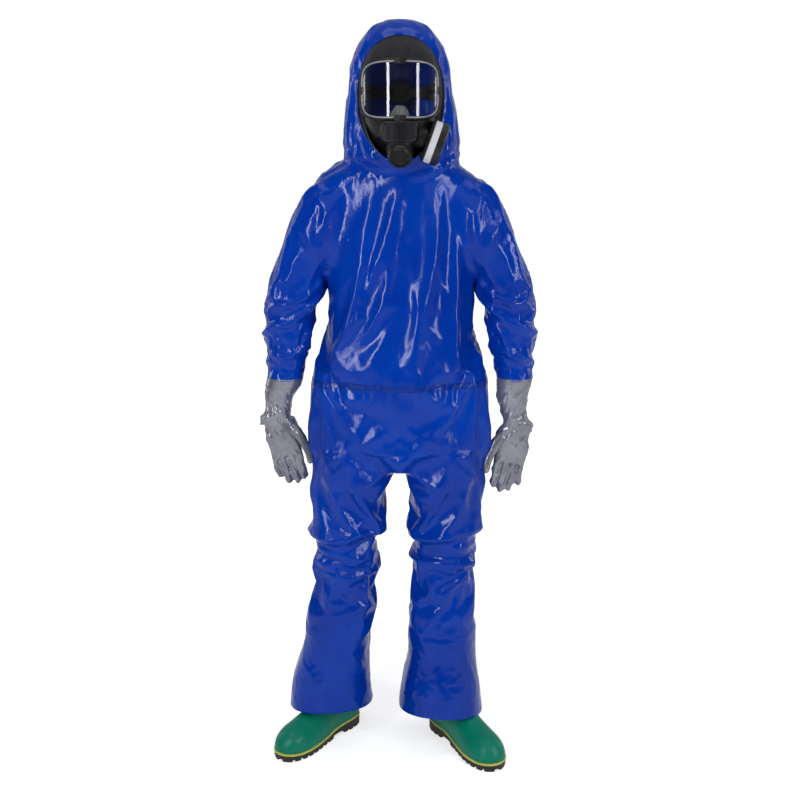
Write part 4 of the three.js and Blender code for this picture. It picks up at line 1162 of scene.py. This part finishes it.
def build_speech_unit(looks):
    bars = []
    corners = [
        (-30, 1566), (-36, 1569), (-40, 1603), (-36, 1608), (36, 1608), (40, 1603), (36, 1569), (30, 1566),
    ]
    outline_points = []
    for (x0, z0), (x1, z1) in zip(corners, corners[1:] + corners[:1]):
        for t in np.linspace(0, 1, 8, endpoint=False):
            outline_points.append((x0 + (x1 - x0) * t, z0 + (z1 - z0) * t))
    x, z = np.array(outline_points).T
    path = on_barrel(x, z, 111)
    bars.append(rod(path, 2.3, outward_of_barrel(path), 10, closed=True))
    for x in range(-33, 34, 6):
        inner = 1 - abs(x) / 40
        bottom = 1567.5 + (0 if inner > 0.2 else 3)
        path = on_barrel(np.full(6, float(x)), np.linspace(bottom, 1606.5, 6), 110.6)
        bars.append(rod(path, 1.6 if abs(x) < 4 else 0.8, outward_of_barrel(path), 6))
    for z in np.arange(1573, 1604, 6):
        path = on_barrel(np.linspace(-37, 37, 16), z, 110.2)
        bars.append(rod(path, 0.9, outward_of_barrel(path), 6))
    mask_piece("speech_mesh", joined(bars), "hard_black", looks, "speech_grille")


def build_exhalation_cover(looks):
    """A round hooded vent with curved ribs across it."""
    at, axis, up = (np.array(CHIN[k], float) for k in ("at", "axis", "up"))
    body = [
        (30, 0.2), (30.4, 6), (29.6, 12), (27.6, 16.5), (25.2, 19), (23.6, 19), (22.6, 15), (22, 12), (1, 12),
    ]
    shapes = [turned_shape(CHIN, body, 64)]
    for height in (-17, -9.5, -2, 5.5, 13):
        reach = math.sqrt(24.4**2 - (height + 4) ** 2)
        u = np.linspace(-reach, reach, 18)
        v = height + 4 + 7.5 * ((u / 24) ** 2) - 4
        path = at + np.outer(u, (1, 0, 0)) + np.outer(v, up) + axis * 18.4
        shapes.append(rod(path, 1.3, axis, 8))
    middle = at + np.outer(np.linspace(-22, 22, 6), up) + axis * 17.4
    shapes.append(rod(middle, 1.1, (1, 0, 0), 8))
    mask_piece("exhalation_vent", joined(shapes), "hard_black", looks, "exhalation_cover")


# ---------------------------------------------------------------- materials
class Shader:
    """A small helper that builds one material from nodes."""

    def __init__(self, name, base, roughness, **sockets):
        self.material = bpy.data.materials.new(name)
        self.material.use_nodes = True
        self.tree = self.material.node_tree
        self.surface = self.tree.nodes["Principled BSDF"]
        self.set(Base_Color=(*base, 1), Roughness=roughness, **sockets)
        self.place = self.node("ShaderNodeTexCoord").outputs["Object"]

    def set(self, **sockets):
        for name, value in sockets.items():
            self.surface.inputs[name.replace("_", " ")].default_value = value

    def node(self, kind, **settings):
        new = self.tree.nodes.new(kind)
        for name, value in settings.items():
            setattr(new, name, value)
        return new

    def link(self, out, into):
        self.tree.links.new(out, into)

    def noise(self, scale, detail=3.0, stretch=(1, 1, 1), distortion=0.0):
        mapping = self.node("ShaderNodeMapping")
        mapping.inputs["Scale"].default_value = stretch
        self.link(self.place, mapping.inputs["Vector"])
        new = self.node("ShaderNodeTexNoise")
        new.inputs["Scale"].default_value = scale
        new.inputs["Detail"].default_value = detail
        new.inputs["Distortion"].default_value = distortion
        self.link(mapping.outputs["Vector"], new.inputs["Vector"])
        return new.outputs["Fac"]

    def creases(self, scale, distortion=0.25):
        """Straight sharp lines between flat cells, as on crumpled film."""
        warp = self.node("ShaderNodeTexNoise")
        warp.inputs["Scale"].default_value = scale * 0.6
        self.link(self.place, warp.inputs["Vector"])
        mixed = self.node("ShaderNodeMix", data_type="VECTOR")
        mixed.inputs["Factor"].default_value = distortion * 0.1
        self.link(self.place, mixed.inputs[4])
        self.link(warp.outputs["Color"], mixed.inputs[5])
        cells = self.node("ShaderNodeTexVoronoi", feature="DISTANCE_TO_EDGE")
        cells.inputs["Scale"].default_value = scale
        self.link(mixed.outputs[1], cells.inputs["Vector"])
        ramp = self.node("ShaderNodeValToRGB")
        ramp.color_ramp.elements[0].position = 0.0
        ramp.color_ramp.elements[1].position = 0.16
        self.link(cells.outputs["Distance"], ramp.inputs["Fac"])
        return ramp.outputs["Color"]

    def bump(self, height, strength, distance):
        new = self.node("ShaderNodeBump")
        new.inputs["Strength"].default_value = strength
        new.inputs["Distance"].default_value = distance
        self.link(height, new.inputs["Height"])
        before = self.surface.inputs["Normal"].links
        if before:
            self.link(before[0].from_socket, new.inputs["Normal"])
        self.link(new.outputs["Normal"], self.surface.inputs["Normal"])

    def patchy(self, height, where, strength, distance):
        """A bump that shows only in patches."""
        ramp = self.node("ShaderNodeValToRGB")
        ramp.color_ramp.elements[0].position = 0.52
        ramp.color_ramp.elements[1].position = 0.66
        self.link(where, ramp.inputs["Fac"])
        both = self.node("ShaderNodeMath", operation="MULTIPLY")
        self.link(height, both.inputs[0])
        self.link(ramp.outputs["Color"], both.inputs[1])
        self.bump(both.outputs["Value"], strength, distance)

    def vary(self, socket, height, low, high):
        """Lets a pattern move a socket between two values or colours."""
        ramp = self.node("ShaderNodeValToRGB")
        as_colour = [v if isinstance(v, tuple) else (v, v, v) for v in (low, high)]
        for element, colour, position in zip(ramp.color_ramp.elements, as_colour, (0.3, 0.7)):
            element.color = (*colour, 1)
            element.position = position
        self.link(height, ramp.inputs["Fac"])
        self.link(ramp.outputs["Color"], self.surface.inputs[socket])


def make_looks():
    looks = {}
    s = Shader("suit_laminate_film", (0.0, 0.034, 0.36), 0.14, IOR=1.32)
    s.vary("Base Color", s.noise(6, 4), (0.0, 0.03, 0.32), (0.0, 0.046, 0.41))
    s.vary("Roughness", s.noise(11, 5), 0.1, 0.2)
    s.bump(s.noise(26, 4, (1, 1, 0.5), 1.5), 0.22, 0.004)
    s.patchy(s.noise(70, 5, (1, 1, 0.6), 2.0), s.noise(7, 2), 0.5, 0.003)
    s.bump(s.creases(12), 0.12, 0.003)
    looks["laminate"] = s.material
    s = Shader("seam_tape_film", (0.0, 0.03, 0.34), 0.2, IOR=1.33)
    s.vary("Base Color", s.noise(30, 3), (0.0, 0.024, 0.25), (0.0, 0.034, 0.31))
    s.bump(s.noise(120, 4), 0.12, 0.001)
    looks["tape"] = s.material
    s = Shader("glove_film", (0.24, 0.24, 0.28), 0.25, Metallic=0.5)
    s.vary("Base Color", s.noise(9, 5), (0.15, 0.152, 0.18), (0.34, 0.345, 0.39))
    s.vary("Roughness", s.noise(20, 4), 0.17, 0.3)
    s.bump(s.noise(300, 3), 0.06, 0.0005)
    s.bump(s.noise(30, 3, distortion=1.2), 0.12, 0.003)
    looks["silver"] = s.material
    s = Shader("boot_upper_rubber", (0.0, 0.19, 0.12), 0.38, IOR=1.35)
    s.vary("Base Color", s.noise(9, 4), (0.0, 0.195, 0.115), (0.0, 0.235, 0.15))
    s.vary("Roughness", s.noise(60, 4), 0.3, 0.44)
    s.bump(s.noise(420, 3), 0.1, 0.0005)
    looks["boot_green"] = s.material
    s = Shader("boot_welt_rubber", (0.62, 0.60, 0.10), 0.42)
    s.vary("Base Color", s.noise(30, 4), (0.52, 0.52, 0.08), (0.70, 0.68, 0.16))
    s.bump(s.noise(300, 3), 0.12, 0.0005)
    looks["boot_yellow"] = s.material
    s = Shader("boot_sole_rubber", (0.018, 0.015, 0.013), 0.55)
    s.vary("Base Color", s.noise(25, 4), (0.012, 0.010, 0.009), (0.032, 0.026, 0.022))
    s.bump(s.noise(260, 4), 0.3, 0.0008)
    looks["boot_black"] = s.material
    s = Shader("neoprene_knit", (0.010, 0.010, 0.012), 0.75, Sheen_Weight=0.12, Sheen_Roughness=0.4, IOR=1.3)
    s.vary("Base Color", s.noise(60, 4), (0.007, 0.007, 0.009), (0.016, 0.016, 0.019))
    s.bump(s.noise(900, 2), 0.4, 0.0006)
    looks["neoprene"] = s.material
    s = Shader("mask_rubber_skin", (0.010, 0.010, 0.011), 0.5, IOR=1.35)
    s.vary("Base Color", s.noise(40, 4), (0.006, 0.006, 0.007), (0.014, 0.014, 0.015))
    s.vary("Roughness", s.noise(90, 4), 0.36, 0.52)
    s.bump(s.noise(500, 3), 0.15, 0.0004)
    looks["mask_rubber"] = s.material
    s = Shader("moulded_black", (0.008, 0.008, 0.009), 0.36, IOR=1.4)
    s.vary("Base Color", s.noise(50, 3), (0.008, 0.008, 0.009), (0.016, 0.016, 0.018))
    s.bump(s.noise(700, 3), 0.12, 0.0003)
    looks["hard_black"] = s.material
    s = Shader("frame_moulding", (0.42, 0.43, 0.45), 0.3, Coat_Weight=0.2)
    s.vary("Base Color", s.noise(50, 3), (0.20, 0.205, 0.215), (0.28, 0.285, 0.295))
    s.bump(s.noise(500, 3), 0.08, 0.0003)
    looks["frame_grey"] = s.material
    s = Shader("lens_sheet", (0.97, 0.98, 0.99), 0.02, Transmission_Weight=1.0, IOR=1.42)
    s.vary("Roughness", s.noise(12, 2), 0.015, 0.035)
    looks["lens_clear"] = s.material
    s = Shader("nose_cup_moulding", (0.10, 0.10, 0.105), 0.4, Subsurface_Weight=0.1)
    s.vary("Base Color", s.noise(40, 3), (0.08, 0.08, 0.085), (0.14, 0.14, 0.145))
    s.bump(s.noise(400, 3), 0.1, 0.0004)
    looks["nose_cup"] = s.material
    s = Shader("label_print", (0.52, 0.52, 0.53), 0.5, IOR=1.3)
    s.vary("Base Color", s.noise(30, 4), (0.58, 0.58, 0.6), (0.68, 0.68, 0.7))
    s.bump(s.noise(900, 2), 0.1, 0.0002)
    looks["label"] = s.material
    s = Shader("turned_steel", (0.55, 0.55, 0.56), 0.3, Metallic=1.0)
    s.vary("Roughness", s.noise(200, 3, (1, 1, 20)), 0.22, 0.38)
    s.bump(s.noise(600, 3, (1, 1, 12)), 0.08, 0.0003)
    looks["steel"] = s.material
    s = Shader("zip_moulding", (0.012, 0.014, 0.02), 0.4)
    s.vary("Base Color", s.noise(50, 3), (0.010, 0.012, 0.018), (0.02, 0.024, 0.034))
    s.bump(s.noise(700, 3), 0.15, 0.0004)
    looks["zip_plastic"] = s.material
    return looks


# ================ model
looks = make_looks()
CAD_LOOKS = {
    "lens_clip_upper": "hard_black", "lens_clip_lower": "hard_black", "exhalation_disc": "mask_rubber",
    "speech_diaphragm": "steel", "nose_cup": "nose_cup", "zip_tape": "zip_plastic",
    "zip_chain": "zip_plastic", "zip_slider": "steel", "zip_pull": "steel",
}
for node, look in CAD_LOOKS.items():
    for slot in NODES[node].material_slots:
        slot.material = looks[look]
build_garment(looks)
build_gloves(looks)
build_boots(looks)
build_mask(looks)


# ---------------------------------------------------------------- camera, light and floor
def area_light(name, place, aim, size, power, colour=(1, 1, 1)):
    data = bpy.data.lights.new(name, "AREA")
    data.shape = "RECTANGLE"
    data.size, data.size_y = size
    data.energy = power
    data.color = colour
    obj = bpy.data.objects.new(name, data)
    bpy.context.scene.collection.objects.link(obj)
    obj.location = place
    obj.rotation_euler = (Vector(aim) - Vector(place)).to_track_quat("-Z", "Y").to_euler()
    return obj


def make_world():
    world = bpy.data.worlds.new("studio")
    bpy.context.scene.world = world
    world.use_nodes = True
    tree = world.node_tree
    background = tree.nodes["Background"]
    path = tree.nodes.new("ShaderNodeLightPath")
    mix = tree.nodes.new("ShaderNodeMix")
    mix.data_type = "RGBA"
    mix.inputs[7].default_value = (1, 1, 1, 1)
    tree.links.new(path.outputs["Is Camera Ray"], mix.inputs["Factor"])
    place = tree.nodes.new("ShaderNodeTexCoord")
    split_place = tree.nodes.new("ShaderNodeSeparateXYZ")
    room = tree.nodes.new("ShaderNodeValToRGB")
    room.color_ramp.elements[0].position = 0.45
    room.color_ramp.elements[0].color = (0.05, 0.052, 0.058, 1)
    room.color_ramp.elements[1].position = 0.9
    room.color_ramp.elements[1].color = (0.42, 0.42, 0.44, 1)
    half = tree.nodes.new("ShaderNodeMapRange")
    half.inputs["From Min"].default_value = -1
    tree.links.new(place.outputs["Generated"], split_place.inputs["Vector"])
    tree.links.new(split_place.outputs["Y"], half.inputs["Value"])
    tree.links.new(half.outputs["Result"], room.inputs["Fac"])
    tree.links.new(room.outputs["Color"], mix.inputs[6])
    tree.links.new(mix.outputs[2], background.inputs["Color"])


def make_floor():
    grid = [(x * 3.0, y * 3.0, 0.0) for y in range(-4, 5) for x in range(-4, 5)]
    faces = [
        (r * 9 + c, r * 9 + c + 1, (r + 1) * 9 + c + 1, (r + 1) * 9 + c)
        for r in range(8)
        for c in range(8)
    ]
    floor = mesh_object("floor", grid, faces)
    s = Shader("studio_floor", (0.8, 0.8, 0.8), 0.6)
    s.vary("Base Color", s.noise(2, 2), (0.79, 0.79, 0.79), (0.81, 0.81, 0.81))
    s.set(Emission_Color=(1, 1, 1, 1))
    length = s.node("ShaderNodeVectorMath", operation="LENGTH")
    glow = s.node("ShaderNodeMapRange")
    for socket, value in (("From Min", 0.5), ("From Max", 1.7), ("To Min", 0.62), ("To Max", 1.0)):
        glow.inputs[socket].default_value = value
    s.link(s.place, length.inputs[0])
    s.link(length.outputs["Value"], glow.inputs["Value"])
    seen = s.node("ShaderNodeMapRange")
    seen.inputs["To Min"].default_value = 0.3
    s.link(s.node("ShaderNodeLightPath").outputs["Is Camera Ray"], seen.inputs["Value"])
    product = s.node("ShaderNodeMath", operation="MULTIPLY")
    s.link(glow.outputs["Result"], product.inputs[0])
    s.link(seen.outputs["Result"], product.inputs[1])
    s.link(product.outputs["Value"], s.surface.inputs["Emission Strength"])
    floor.data.materials.append(s.material)


def make_camera():
    data = bpy.data.cameras.new("camera")
    data.lens = 51.6
    data.sensor_width = 36
    camera = bpy.data.objects.new("camera", data)
    bpy.context.scene.collection.objects.link(camera)
    camera.location = (0.00775, -2.914, 1.56)
    camera.rotation_euler = (math.radians(90 - 11.8), 0, 0)
    bpy.context.scene.camera = camera


make_camera()
make_world()
make_floor()
area_light("left_strip", (-1.7, -2.75, 2.05), (0, 0, 1.45), (0.42, 1.9), 46, (0.95, 0.96, 1.0))
area_light("right_strip", (2.4, -2.15, 2.05), (0, 0, 1.4), (0.42, 1.9), 34, (0.95, 0.96, 1.0))
area_light("front_fill", (0, -3.6, 3.9), (0, 0, 1.2), (5.0, 2.4), 26)
area_light("top_box", (0, -0.2, 4.2), (0, 0, 1.0), (3.0, 2.0), 30)
area_light("left_rim", (-2.9, 1.3, 1.8), (0, 0, 1.1), (0.4, 2.0), 12)
area_light("right_rim", (2.9, 1.3, 1.8), (0, 0, 1.1), (0.4, 2.0), 12)
bpy.context.scene.view_settings.view_transform = "Standard"

bpy.context.view_layer.update()
